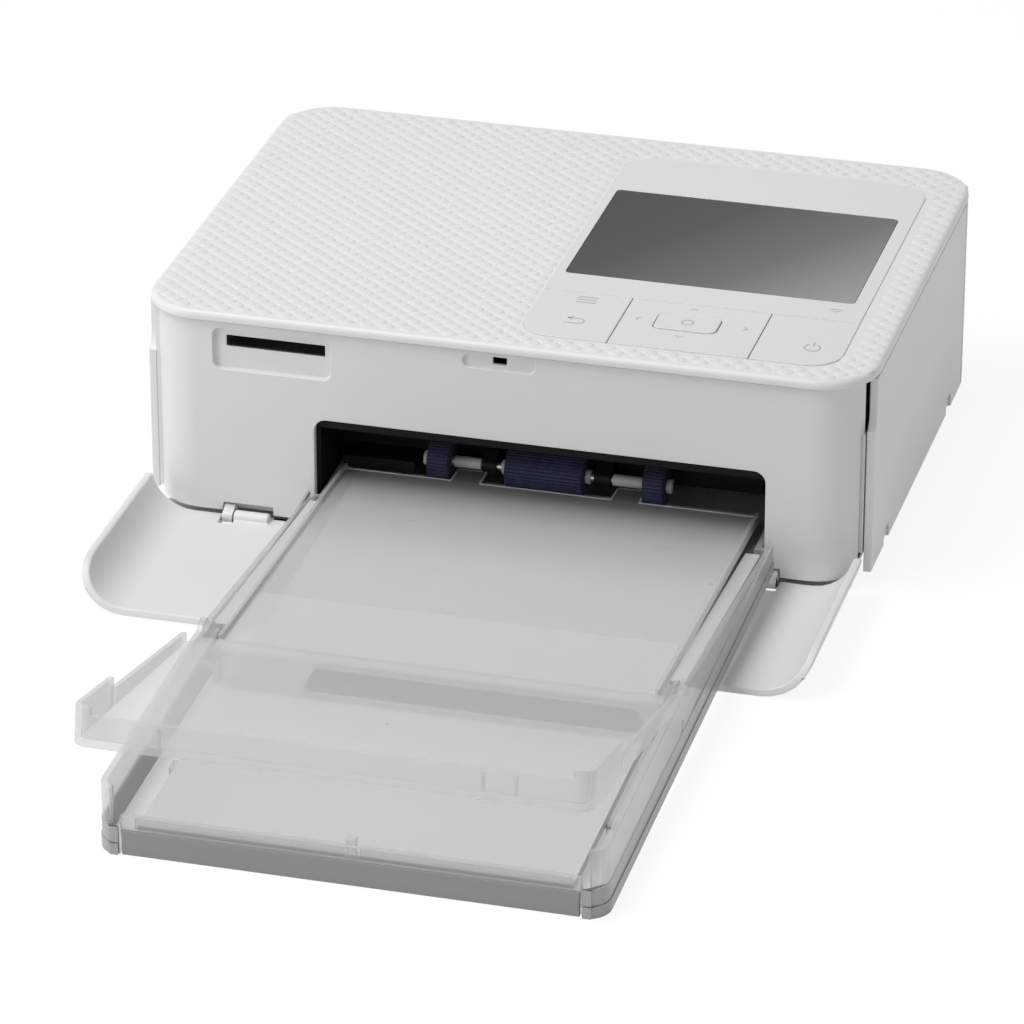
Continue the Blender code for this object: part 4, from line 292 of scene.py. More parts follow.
def noise(made, scale, detail=2.0, stretch=(1.0, 1.0, 1.0)):
    """Noise on the object's own coordinates, stretched by a scale on each axis."""
    tree = made.node_tree
    source = tree.nodes.new("ShaderNodeTexCoord")
    scaled = tree.nodes.new("ShaderNodeMapping")
    scaled.inputs["Scale"].default_value = stretch
    pattern = tree.nodes.new("ShaderNodeTexNoise")
    pattern.inputs["Scale"].default_value = scale
    pattern.inputs["Detail"].default_value = detail
    tree.links.new(source.outputs["Object"], scaled.inputs["Vector"])
    tree.links.new(scaled.outputs["Vector"], pattern.inputs["Vector"])
    return pattern.outputs["Fac"]


def ramp(made, factor, stops):
    """Colours along a factor; each stop is a position and a colour."""
    node = made.node_tree.nodes.new("ShaderNodeValToRGB")
    keys = node.color_ramp.elements
    while len(keys) < len(stops):
        keys.new(0.5)
    for key, (position, colour) in zip(keys, stops):
        key.position = position
        key.color = (*colour, 1.0)
    made.node_tree.links.new(factor, node.inputs["Fac"])
    return node.outputs["Color"]


def mottled(made, low, high, scale, detail=3.0):
    """Let the colour drift softly between two shades."""
    colour = ramp(made, noise(made, scale, detail), ((0.3, low), (0.7, high)))
    made.node_tree.links.new(colour, principled(made).inputs["Base Color"])
    return made


def uneven(made, low, high, scale, stretch=(1.0, 1.0, 1.0)):
    """Let the roughness drift between two values."""
    spread = made.node_tree.nodes.new("ShaderNodeMapRange")
    spread.inputs["To Min"].default_value = low
    spread.inputs["To Max"].default_value = high
    factor = noise(made, scale, 4.0, stretch)
    made.node_tree.links.new(factor, spread.inputs["Value"])
    made.node_tree.links.new(spread.outputs["Result"], principled(made).inputs["Roughness"])
    return made


def grained(made, scale, depth, detail=2.0, stretch=(1.0, 1.0, 1.0)):
    """Give the surface a fine relief of a depth in metres."""
    relief = made.node_tree.nodes.new("ShaderNodeBump")
    relief.inputs["Distance"].default_value = depth
    factor = noise(made, scale, detail, stretch)
    made.node_tree.links.new(factor, relief.inputs["Height"])
    made.node_tree.links.new(relief.outputs["Normal"], principled(made).inputs["Normal"])
    return made


def grey(value, blue=0.0):
    """A neutral colour, a little bluer if asked."""
    return (value, value, value + blue)


def moulded(name, value, roughness, depth=0.00002, **sockets):
    """Moulded plastic: a soft drift of shade, uneven sheen and a fine grain."""
    made = plain(name, grey(value), roughness, **sockets)
    mottled(made, grey(value * 0.985), grey(min(1.0, value * 1.012)), 9.0)
    uneven(made, roughness - 0.05, roughness + 0.06, 60.0)
    return grained(made, 3200.0, depth)


def screen_with_painted_reflection(name):
    """A dark display under glass, with a painted reflection that pales towards its near right
    corner.
    """
    made = plain(name, grey(0.1), 0.12, Specular_IOR_Level=0.22)
    tree = made.node_tree
    source = tree.nodes.new("ShaderNodeTexCoord")
    slope = tree.nodes.new("ShaderNodeVectorMath")
    slope.operation = "DOT_PRODUCT"
    slope.inputs[1].default_value = SCREEN_SLOPE
    tree.links.new(source.outputs["Object"], slope.inputs[0])
    lift = tree.nodes.new("ShaderNodeMapRange")
    lift.inputs["From Min"].default_value = SCREEN_DARK_AT - BODY_Y * -SCREEN_SLOPE[1]
    lift.inputs["From Max"].default_value = SCREEN_PALE_AT - BODY_Y * -SCREEN_SLOPE[1]
    tree.links.new(slope.outputs["Value"], lift.inputs["Value"])
    colour = ramp(made, lift.outputs["Result"], SCREEN_REFLECTION_STOPS)
    tree.links.new(colour, principled(made).inputs["Base Color"])
    return made


def paint_mouth_shade(made, value, mouth_shade):
    """Painted shade: the colour turns from milky to dark towards the mouth of the printer."""
    tree = made.node_tree
    source = tree.nodes.new("ShaderNodeTexCoord")
    split = tree.nodes.new("ShaderNodeSeparateXYZ")
    tree.links.new(source.outputs["Object"], split.inputs["Vector"])
    along = tree.nodes.new("ShaderNodeMapRange")
    along.inputs["From Min"].default_value = MOUTH_SHADE_FROM + BODY_Y
    along.inputs["From Max"].default_value = MOUTH_SHADE_TO + BODY_Y
    tree.links.new(split.outputs["Y"], along.inputs["Value"])
    middle = (value + mouth_shade) / 2 * MOUTH_SHADE_MIDDLE_LIFT
    stops = [(0.0, grey(value, 0.004)), (MOUTH_SHADE_MIDDLE, grey(middle, 0.003))]
    stops.append((1.0, grey(mouth_shade)))
    colour = ramp(made, along.outputs["Result"], stops)
    tree.links.new(colour, principled(made).inputs["Base Color"])


def let_light_through(made, facing_cover, edge_cover):
    """Cover less facing the eye than along edges, and let a share of the light through."""
    tree = made.node_tree
    edge = tree.nodes.new("ShaderNodeLayerWeight")
    edge.inputs["Blend"].default_value = FROST_EDGE
    cover = tree.nodes.new("ShaderNodeMapRange")
    cover.inputs["To Min"].default_value = facing_cover
    cover.inputs["To Max"].default_value = edge_cover
    tree.links.new(edge.outputs["Facing"], cover.inputs["Value"])
    path = tree.nodes.new("ShaderNodeLightPath")
    shade = tree.nodes.new("ShaderNodeMath")
    shade.operation = "MULTIPLY"
    shade.inputs[1].default_value = -LIGHT_PASSED
    tree.links.new(path.outputs["Is Shadow Ray"], shade.inputs[0])
    total = tree.nodes.new("ShaderNodeMath")
    total.use_clamp = True
    tree.links.new(cover.outputs["Result"], total.inputs[0])
    tree.links.new(shade.outputs["Value"], total.inputs[1])
    tree.links.new(total.outputs["Value"], principled(made).inputs["Alpha"])


def frosted(name, value, facing_cover, edge_cover, mouth_shade=None):
    """Frosted clear plastic: milky, more so along its edges, and it lets light through.

    The last value is the painted shade that it takes on towards the mouth of the printer.
    """
    made = plain(name, grey(value, 0.004), 0.3, IOR=1.49)
    if mouth_shade is None:
        mottled(made, grey(value * 0.975), grey(min(1.0, value * 1.01), 0.004), 14.0)
    else:
        # Painted shade and painted reflection of the dark mouth on the inner lid
        paint_mouth_shade(made, value, mouth_shade)
    uneven(made, *FROST_SHEEN, 90.0)
    grained(made, *FROST_GRAIN)
    let_light_through(made, facing_cover, edge_cover)
    return made


def rubber(name, colour):
    """Dull rubber with paler dusty patches."""
    made = plain(name, colour, 0.7)
    dusty = tuple(1.7 * part + 0.004 for part in colour)
    mottled(made, colour, dusty, 400.0)
    return grained(made, 5000.0, 0.00003)


def machined(name, value, roughness, stretch):
    """Metal with fine lines along one axis."""
    made = plain(name, grey(value, 0.01), roughness, 1.0)
    uneven(made, roughness - 0.08, roughness + 0.1, 700.0, stretch)
    return grained(made, 900.0, 0.00001, 2.0, stretch)


def board_finish(name):
    """Green solder mask with the faint pattern of its tracks."""
    made = plain(name, (0.02, 0.12, 0.05), 0.35)
    return mottled(made, (0.012, 0.085, 0.035), (0.03, 0.17, 0.075), 900.0, 1.0)


# Shades of the painted reflection on the screen, from its dark far corner to its pale near right
# corner
SCREEN_REFLECTION_STOPS = (
    (0.0, grey(0.007)),
    (0.33, grey(0.029)),
    (0.67, grey(0.12, 0.002)),
    (1.0, grey(0.32, 0.004)),
)
ALONG_X = (0.03, 1.0, 1.0)
ALONG_Y = (1.0, 0.05, 1.0)
FINISHES = {
    "white_shell": moulded("white_shell_look", 0.80, 0.42),
    "textured_top": moulded("textured_top_look", 0.83, 0.36, 0.00001),
    "panel_white": moulded("panel_white_look", 0.77, 0.17, 0.000003, Coat_Weight=0.2),
    "screen_glass": screen_with_painted_reflection("screen_glass_look"),
    "screen_module": moulded("screen_module_look", 0.05, 0.5),
    "board_green": board_finish("board_green_look"),
    "socket_metal": machined("socket_metal_look", 0.42, 0.35, ALONG_Y),
    "black_plastic": moulded("black_plastic_look", 0.007, 0.5, 0.00002, Specular_IOR_Level=0.18),
    "roller_rubber": rubber("roller_rubber_look", (0.014, 0.018, 0.05)),
    "steel": machined("steel_look", 0.62, 0.3, ALONG_X),
    "zinc_sheet": machined("zinc_sheet_look", 0.5, 0.42, ALONG_Y),
    "gear_nylon": moulded("gear_nylon_look", 0.72, 0.5),
    "motor_can": machined("motor_can_look", 0.45, 0.35, ALONG_X),
    "heat_sink_alloy": machined("heat_sink_look", 0.66, 0.42, ALONG_X),
    "ceramic": moulded("ceramic_look", 0.6, 0.35),
    "ink_case": moulded("ink_case_look", 0.09, 0.5),
    "ink_film": moulded("ink_film_look", 0.3, 0.25),
    "spool_white": moulded("spool_white_look", 0.7, 0.5),
    "cassette_clear": frosted("cassette_clear_look", *CLEAR_LOOK),
    "cassette_grey": moulded("cassette_grey_look", 0.3, 0.4, 0.000012),
    "photo_paper": moulded("photo_paper_look", 0.67, 0.4, 0.000006),
    "foot_rubber": rubber("foot_rubber_look", (0.03, 0.03, 0.03)),
    "bush_brass": machined("bush_brass_look", 0.45, 0.35, ALONG_X),
}
INNER_CLEAR = frosted("inner_clear_look", *INNER_LOOK)
FRONT_CLEAR = frosted("front_clear_look", *FRONT_LOOK)
MARK_INK = moulded("mark_ink_look", 0.48, 0.5)
COLLAR_NYLON = moulded("collar_nylon_look", 0.62, 0.45)
LEDGE_CLEAR = moulded("ledge_clear_look", 0.66, 0.3, 0.000005)
BEAD_CLEAR = moulded("bead_clear_look", 0.86, 0.2, 0.000005)
# Dark grey of the sheet that paints the shade behind the inner lid's window
SHADE_SHEET_GREY = moulded("painted_shade_look", 0.12, 0.45)
BAND_GREY = moulded("band_grey_look", 0.4, 0.35)
BAND_PALE = moulded("band_pale_look", 0.43, 0.35)


# Mesh tools


def arc(centre, radius, start, end, steps=FINE_STEPS):
    """Points on a circle from one angle to another."""
    angles = [start + (end - start) * index / steps for index in range(steps + 1)]
    return [(centre[0] + radius * math.cos(a), centre[1] + radius * math.sin(a)) for a in angles]


def rounded(x, y, radius, steps=FINE_STEPS):
    """A rectangle with round corners, anticlockwise."""
    points = []
    corners = ((x[1], y[0], -1, 1), (x[1], y[1], -1, -1), (x[0], y[1], 1, -1), (x[0], y[0], 1, 1))
    for index, (corner_x, corner_y, side_x, side_y) in enumerate(corners):
        centre = (corner_x + side_x * radius, corner_y + side_y * radius)
        start = (index - 1) * QUARTER
        points += arc(centre, radius, start, start + QUARTER, steps)
    return points


def point_on(axis, along, first, second):
    """A point from its distance along an axis and its two other coordinates."""
    if axis == "X":
        return (along, first, second)
    return (first, along, second) if axis == "Y" else (first, second, along)


def loft(levels, axis="Z", builder=None):
    """Add a closed solid through outlines at their heights; give back its bmesh."""
    builder = builder or bmesh.new()
    rings = []
    for outline, height in levels:
        ring = [builder.verts.new(point_on(axis, height, *point)) for point in outline]
        rings.append(ring)
    for lower, upper in zip(rings, rings[1:]):
        for index in range(len(lower)):
            after = (index + 1) % len(lower)
            builder.faces.new((lower[index], lower[after], upper[after], upper[index]))
    builder.faces.new(rings[0][::-1])
    builder.faces.new(rings[-1])
    return builder


def prism(outline, axis, span, builder=None):
    """Add an outline extruded along an axis."""
    return loft([(outline, span[0]), (outline, span[1])], axis, builder)


def linked(name, data):
    """Put a new object of some data in the scene."""
    thing = bpy.data.objects.new(name, data)
    bpy.context.scene.collection.objects.link(thing)
    return thing


def to_object(builder, name, matrix=None):
    """Finish a bmesh as an object at the origin, with its place in its mesh."""
    bmesh.ops.remove_doubles(builder, verts=builder.verts, dist=MERGE)
    bmesh.ops.recalc_face_normals(builder, faces=builder.faces)
    mesh = bpy.data.meshes.new(name)
    builder.to_mesh(mesh)
    builder.free()
    if matrix is not None:
        mesh.transform(matrix)
    return linked(name, mesh)


def baked(piece):
    """Apply a piece's modifiers."""
    graph = bpy.context.evaluated_depsgraph_get()
    result = bpy.data.meshes.new_from_object(piece.evaluated_get(graph))
    piece.modifiers.clear()
    piece.data = result
    return piece


def smooth(piece, angle=SHARP_ANGLE):
    """Shade smooth with flat faces kept flat, and keep edges sharper than the angle."""
    piece.data.shade_smooth()
    piece.data.set_sharp_from_angle(angle=angle)
    step = piece.modifiers.new("flat", "WEIGHTED_NORMAL")
    step.mode = "FACE_AREA"
    step.weight = 100
    step.keep_sharp = True
    return baked(piece)


def cut(piece, cutter):
    """Take a cutter away from a piece."""
    step = piece.modifiers.new("cut", "BOOLEAN")
    step.operation = "DIFFERENCE"
    step.solver = "EXACT"
    step.object = cutter
    baked(piece)
    bpy.data.objects.remove(cutter)
    return piece


def bevelled(piece, width):
    """Round a piece's sharp edges."""
    step = piece.modifiers.new("round", "BEVEL")
    step.width = width
    step.segments = BEVEL_STEPS
    step.limit_method = "ANGLE"
    step.angle_limit = SHARP_ANGLE
    step.use_clamp_overlap = False
    return smooth(baked(piece), BEVEL_SHARP_ANGLE)


def settle(piece, body, slot, *replaced, finish=None):
    """Give a piece its material, from its slot unless a finish is given, attach it to its body,
    and hide the nodes it stands for.
    """
    piece.data.materials.clear()
    piece.data.materials.append(finish or FINISHES[slot])
    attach(piece, body)
    if replaced:
        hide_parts(*replaced)
    return piece


IN_BODY = Matrix.Translation((0, BODY_Y, 0))
IN_CASSETTE = IN_BODY @ Matrix.Translation(CASSETTE_PLACE) @ Matrix.Rotation(CASSETTE_TILT, 4, "X")
AT_INNER_LID = IN_CASSETTE @ Matrix.Translation((0, *INNER_LID_BACK))
IN_INNER_LID = AT_INNER_LID @ Matrix.Rotation(-INNER_LID_FALL, 4, "X")
IN_LID = IN_CASSETTE @ Matrix.Translation((0, *LID_PIVOT)) @ Matrix.Rotation(-LID_RISE, 4, "X")


# CAD nodes, with the rounding of their edges

SPECIAL_FINISHES = {"inner_lid": INNER_CLEAR}
SOFT_EDGES = {
    "front_shell": 0.0003,
    "rear_shell": 0.0003,
    "ink_cover": 0.0003,
    "front_door": 0.0005,
    "bottom_case": 0.0002,
    "operation_panel": 0.00018,
    "menu_key": 0.00018,
    "navigation_key": 0.00018,
    "power_key": 0.00018,
    "ok_key": 0.0003,
    "display_window": 0.00012,
    "mouth_liner": 0.0003,
    "roller_holder": 0.00025,
    "power_inlet": 0.00025,
    "usb_socket": 0.0002,
    "cassette_tray": 0.00028,
    "cassette_front_strip": 0.0002,
    "inner_lid": 0.00025,
    "output_lid": 0.0003,
    "paper_stack": 0.0001,
}


def dress_nodes():
    """Every CAD node gets the procedural finish of its slot."""
    for entry in frame["record"]["subparts"]:
        node = frame["nodes"][entry["node"]]
        node.data.materials.clear()
        node.data.materials.append(FINISHES[entry["material_slot"]])


def slot_of(node):
    """A CAD node's material slot."""
    return next(e["material_slot"] for e in frame["record"]["subparts"] if e["node"] == node)


def body_of(node):
    """The body that a CAD node belongs to."""
    bodies = frame["record"]["behaviour"]["bodies"]
    return next(name for name, nodes in bodies.items() if node in nodes)


def softened(node, width):
    """A copy of a CAD node with rounded edges, which stands for it."""
    builder = bmesh.new()
    builder.from_mesh(frame["nodes"][node].data)
    bmesh.ops.remove_doubles(builder, verts=builder.verts, dist=MERGE)
    bmesh.ops.dissolve_limit(
        builder, angle_limit=FLAT_ANGLE, verts=builder.verts, edges=builder.edges
    )
    piece = bevelled(to_object(builder, node + "_finished"), width)
    finish = SPECIAL_FINISHES.get(node)
    return settle(piece, body_of(node), slot_of(node), node, finish=finish)


# Top cover


def make_top_cover():
    """The rolled lid, its pocket for the panel, and the openings under screen and keys."""
    levels = [(LIP_BOTTOM, LIP_EDGE), (LIP_BOTTOM + LIP_EDGE, 0.0)]
    for index in range(ROLL_STEPS + 1):
        angle = QUARTER * index / ROLL_STEPS
        roll = TOP_ROLL * (1 - math.cos(angle))
        levels.append((BODY_TOP - TOP_SINK - TOP_ROLL * (1 - math.sin(angle)), roll))
    outlines = []
    for height, inset in levels:
        x = (inset - BODY_HALF_WIDTH, BODY_HALF_WIDTH - inset)
        y = (inset - BODY_HALF_DEPTH, BODY_HALF_DEPTH - inset)
        outlines.append((rounded(x, y, BODY_CORNER - inset), height))
    cover = to_object(loft(outlines), "top_cover_finished", IN_BODY)
    grown_x = (PANEL_X[0] - POCKET_MARGIN, PANEL_X[1] + POCKET_MARGIN)
    grown_y = (PANEL_Y[0] - POCKET_MARGIN, PANEL_Y[1] + POCKET_MARGIN)
    pocket = rounded(grown_x, grown_y, PANEL_CORNER + POCKET_MARGIN)
    well = (POCKET_FLOOR, BODY_TOP + CUT_PAST)
    cut(cover, to_object(prism(pocket, "Z", well), "cutter", IN_BODY))
    screen_x = (SCREEN_X[0] + SCREEN_INSET, SCREEN_X[1] - SCREEN_INSET)
    screen_y = (SCREEN_Y[0] + SCREEN_INSET, SCREEN_Y[1] - SCREEN_INSET)
    screen = rounded(screen_x, screen_y, SCREEN_INSET)
    through = (LIP_BOTTOM - CUT_PAST, BODY_TOP + CUT_PAST)
    cut(cover, to_object(prism(screen, "Z", through), "cutter", IN_BODY))
    keys = [(x, min(y, KEYS_BACK)) for x, y in pocket]
    cut(cover, to_object(prism(keys, "Z", through), "cutter", IN_BODY))
    settle(smooth(cover), "printer", "textured_top", "top_cover")


def within(x, y, half_x, half_y, radius):
    """Whether a point is inside a rectangle with round corners."""
    over_x = abs(x) - (half_x - radius)
    over_y = abs(y) - (half_y - radius)
    if over_x > 0 and over_y > 0:
        return math.hypot(over_x, over_y) < radius
    return over_x < radius and over_y < radius


def grain_places():
    """The staggered places of the grain, on the cover and clear of the panel."""
    panel_middle = (sum(PANEL_X) / 2, sum(PANEL_Y) / 2)
    panel_half = ((PANEL_X[1] - PANEL_X[0]) / 2, (PANEL_Y[1] - PANEL_Y[0]) / 2)
    half = (BODY_HALF_WIDTH - GRAIN_EDGE, BODY_HALF_DEPTH - GRAIN_EDGE)
    grown = (panel_half[0] + GRAIN_PANEL_MARGIN, panel_half[1] + GRAIN_PANEL_MARGIN)
    places = []
    for row in range(-GRAIN_REACH, GRAIN_REACH + 1):
        for column in range(-GRAIN_REACH, GRAIN_REACH + 1):
            if (row + column) % 2:
                continue
            x = column * GRAIN_PITCH_X / 2
            y = row * GRAIN_PITCH_Y / 2
            on_cover = within(x, y, *half, BODY_CORNER - GRAIN_EDGE)
            off = (x - panel_middle[0], y - panel_middle[1])
            on_panel = within(*off, *grown, PANEL_CORNER + GRAIN_PANEL_MARGIN)
            if on_cover and not on_panel:
                places.append((x, y + BODY_Y, BODY_TOP - GRAIN_SINK))
    return places


def grain_tree():
    """Geometry Nodes that set a low dome on each point."""
    tree = bpy.data.node_groups.new("cover_grain", "GeometryNodeTree")
    face = tree.interface
    face.new_socket("Geometry", in_out="INPUT", socket_type="NodeSocketGeometry")
    for label in GRAIN_INPUTS:
        face.new_socket(label, in_out="INPUT", socket_type="NodeSocketFloat")
    face.new_socket("Finish", in_out="INPUT", socket_type="NodeSocketMaterial")
    face.new_socket("Geometry", in_out="OUTPUT", socket_type="NodeSocketGeometry")
    nodes = tree.nodes
    link = tree.links.new
    source = nodes.new("NodeGroupInput")
    result = nodes.new("NodeGroupOutput")
    ball = nodes.new("GeometryNodeMeshIcoSphere")
    ball.inputs["Subdivisions"].default_value = 2
    ball.inputs["Radius"].default_value = 1.0
    sizes = nodes.new("ShaderNodeCombineXYZ")
    for axis, label in zip("XYZ", GRAIN_INPUTS):
        link(source.outputs[label], sizes.inputs[axis])
    shape = nodes.new("GeometryNodeTransform")
    link(ball.outputs["Mesh"], shape.inputs["Geometry"])
    link(sizes.outputs["Vector"], shape.inputs["Scale"])
    soft = nodes.new("GeometryNodeSetShadeSmooth")
    link(shape.outputs["Geometry"], soft.inputs["Geometry"])
    spread = nodes.new("GeometryNodeInstanceOnPoints")
    link(source.outputs["Geometry"], spread.inputs["Points"])
    link(soft.outputs["Geometry"], spread.inputs["Instance"])
    real = nodes.new("GeometryNodeRealizeInstances")
    link(spread.outputs["Instances"], real.inputs["Geometry"])
    paint = nodes.new("GeometryNodeSetMaterial")
    link(real.outputs["Geometry"], paint.inputs["Geometry"])
    link(source.outputs["Finish"], paint.inputs["Material"])
    link(paint.outputs["Geometry"], result.inputs["Geometry"])
    return tree


def grow(name, places, tree, inputs):
    """Run a Geometry Nodes tree over points and keep the result as a plain mesh."""
    mesh = bpy.data.meshes.new(name)
    mesh.from_pydata(places, [], [])
    piece = linked(name, mesh)
    step = piece.modifiers.new("grow", "NODES")
    step.node_group = tree
    entries = [item for item in tree.interface.items_tree if item.in_out == "INPUT"]
    sockets = {item.name: item.identifier for item in entries}
    for label, value in inputs.items():
        step[sockets[label]] = value
    return baked(piece)


def make_grain():
    """The woven grain of the top cover, one low dome after another."""
    inputs = dict(zip(GRAIN_INPUTS, GRAIN_HALF_SIZES))
    inputs["Finish"] = FINISHES["textured_top"]
    piece = grow("top_grain", grain_places(), grain_tree(), inputs)
    settle(piece, "printer", "textured_top")


# Printed marks


def stroke(builder, points, width=MARK_LINE, base=BODY_TOP, height=MARK_HEIGHT):
    """Add a flat line through points, as short bars with round joints."""
    for start, end in zip(points, points[1:]):
        run = Vector(end) - Vector(start)
        side = Vector((-run.y, run.x)).normalized() * width / 2
        corners = [Vector(start) - side, Vector(end) - side]
        corners += [Vector(end) + side, Vector(start) + side]
        prism([tuple(c) for c in corners], "Z", (base, base + height), builder)
    joint_z = (base, base + height * MARK_JOINT_SHARE)
    for point in points:
        joint = arc(point, width / 2, 0, 4 * QUARTER, MARK_STEPS)[:-1]
        prism(joint, "Z", joint_z, builder)


def finished_strokes(builder, name, matrix):
    """An object from strokes, which stay separate bodies that touch."""
    mesh = bpy.data.meshes.new(name)
    builder.to_mesh(mesh)
    builder.free()
    mesh.transform(matrix)
    return linked(name, mesh)


def mark(name, body, lines, width=MARK_LINE, base=BODY_TOP):
    """One printed mark, made of lines."""
    builder = bmesh.new()
    for points in lines:
        stroke(builder, points, width, base)
    settle(finished_strokes(builder, name, IN_BODY), body, "panel_white", finish=MARK_INK)


def make_marks():
    """Generic marks: menu lines, a back arrow, chevrons, a ring, a power sign and waves."""
    menu = [[(x, y) for x in MENU_LINES_X] for y in MENU_LINES_Y]
    mark("menu_mark", "menu_key", menu, MENU_LINE)
    bend = arc(ARROW_BEND, ARROW_BEND_RADIUS, -QUARTER, QUARTER, ARROW_STEPS)
    mark("back_mark", "menu_key", [[ARROW_TAIL, *bend, ARROW_TIP], ARROW_HEAD])
    mark("navigation_marks", "navigation_key", CHEVRONS, CHEVRON_LINE)
    ring = arc(RING_PLACE, RING_RADIUS, 0, 4 * QUARTER, RING_STEPS)
    ring_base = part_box("ok_key")[1].z - MARK_HEIGHT / 2
    mark("ok_mark", "ok_key", [ring], RING_LINE, ring_base)
    ends = (QUARTER + POWER_GAP, 5 * QUARTER - POWER_GAP)
    power = arc(POWER_PLACE, POWER_RADIUS, *ends, RING_STEPS)
    mark("power_mark", "power_key", [power, POWER_BAR])
    waves = []
    for radius in SIGNAL_RADII:
        ends = (QUARTER - SIGNAL_SPREAD, QUARTER + SIGNAL_SPREAD)
        waves.append(arc(SIGNAL_PLACE, radius, *ends, MARK_STEPS))
    dot_end = (SIGNAL_PLACE[0], SIGNAL_PLACE[1] - SIGNAL_DOT_LENGTH)
    waves.append([SIGNAL_PLACE, dot_end])
    mark("signal_mark", "printer", waves, SIGNAL_LINE)


# Seams


def make_seams():
    """The laps behind the two side seams, and the door's flange under the body."""
    for (x, z), label in ((SEAM_RIGHT, "right"), (SEAM_LEFT, "left")):
        outline = rounded(x, SEAM_Y, SEAM_CORNER, SEAM_STEPS)
        lap = to_object(prism(outline, "Z", z), "seam_lap_" + label, IN_BODY)
        settle(smooth(lap), "printer", "white_shell")
    outline = rounded((-FLANGE_HALF, FLANGE_HALF), FLANGE_Y, FLANGE_CORNER, SHEET_STEPS)
    flange = to_object(prism(outline, "Z", FLANGE_Z), "door_flange", IN_BODY)
    settle(smooth(flange), "front_door", "white_shell")


# Rollers


def drawn_in(point):
    """A point of a roller's outline, moved a share of the way to its axis."""
    y, z = point
    return (y + (PICKUP[0] - y) * ROLLER_END_DRAW, z + (PICKUP[1] - z) * ROLLER_END_DRAW)


def make_rollers():
    """The rubber rollers with their fine ribs, and the collars and sleeves on the shaft."""
    for node, span in ROLLER_SPANS.items():
        step = 4 * QUARTER / ROLLER_RIBS
        outer = []
        for index in range(ROLLER_RIBS):
            start = index * step
            outer += arc(PICKUP, ROLLER_RADIUS, start, start + step * RIB_TOP_SHARE, 1)
            groove = [start + step * share for share in GROOVE_SHARES]
            outer += arc(PICKUP, ROLLER_RADIUS - RIB_DEPTH, *groove, 1)
        ends = [drawn_in(point) for point in outer]
        levels = [(ends, span[0]), (outer, span[0] + ROLLER_CHAMFER)]
        levels += [(outer, span[1] - ROLLER_CHAMFER), (ends, span[1])]
        roller = to_object(loft(levels, "X"), node + "_finished", IN_BODY)
        bore = arc(PICKUP, ROLLER_BORE, 0, 4 * QUARTER, ROUND_STEPS)[:-1]
        through = (span[0] - BORE_PAST, span[1] + BORE_PAST)
        cut(roller, to_object(prism(bore, "X", through), "cutter", IN_BODY))
        settle(smooth(roller), "pickup_rollers", "roller_rubber", node)
    for index, span in enumerate(COLLAR_SPANS):
        outer = arc(PICKUP, COLLAR_RADIUS, 0, 4 * QUARTER, ROUND_STEPS)[:-1]
        collar = to_object(prism(outer, "X", span), "shaft_collar_" + "abcd"[index], IN_BODY)
        settle(bevelled(collar, COLLAR_EDGE), "pickup_rollers", "gear_nylon", finish=COLLAR_NYLON)
    for span, label in zip(SLEEVE_SPANS, ("left", "right")):
        outer = arc(PICKUP, SLEEVE_RADIUS, 0, 4 * QUARTER, ROUND_STEPS)[:-1]
        sleeve = to_object(prism(outer, "X", span), "shaft_sleeve_" + label, IN_BODY)
        settle(bevelled(sleeve, SLEEVE_EDGE), "pickup_rollers", "gear_nylon", finish=COLLAR_NYLON)


# Cassette


def band_outline(side, thick):
    """A thin strip round one front corner of the tray and back along its wall."""
    half = TRAY_HALF + thick
    front = -TRAY_LENGTH - thick
    centre = (side * (TRAY_HALF - TRAY_CORNER), TRAY_CORNER - TRAY_LENGTH)
    start = -QUARTER
    end = 0 if side > 0 else -2 * QUARTER
    outer = [(side * BAND_END_X, front)]
    outer += arc(centre, TRAY_CORNER + thick, start, end, BAND_STEPS)
    outer.append((side * half, TRAY_SHOULDER))
    inner = [(side * (TRAY_HALF - BAND_ROOT), TRAY_SHOULDER)]
    inner += arc(centre, TRAY_CORNER - BAND_ROOT, end, start, BAND_STEPS)
    inner.append((side * BAND_END_X, BAND_ROOT - TRAY_LENGTH))
    return outer + inner


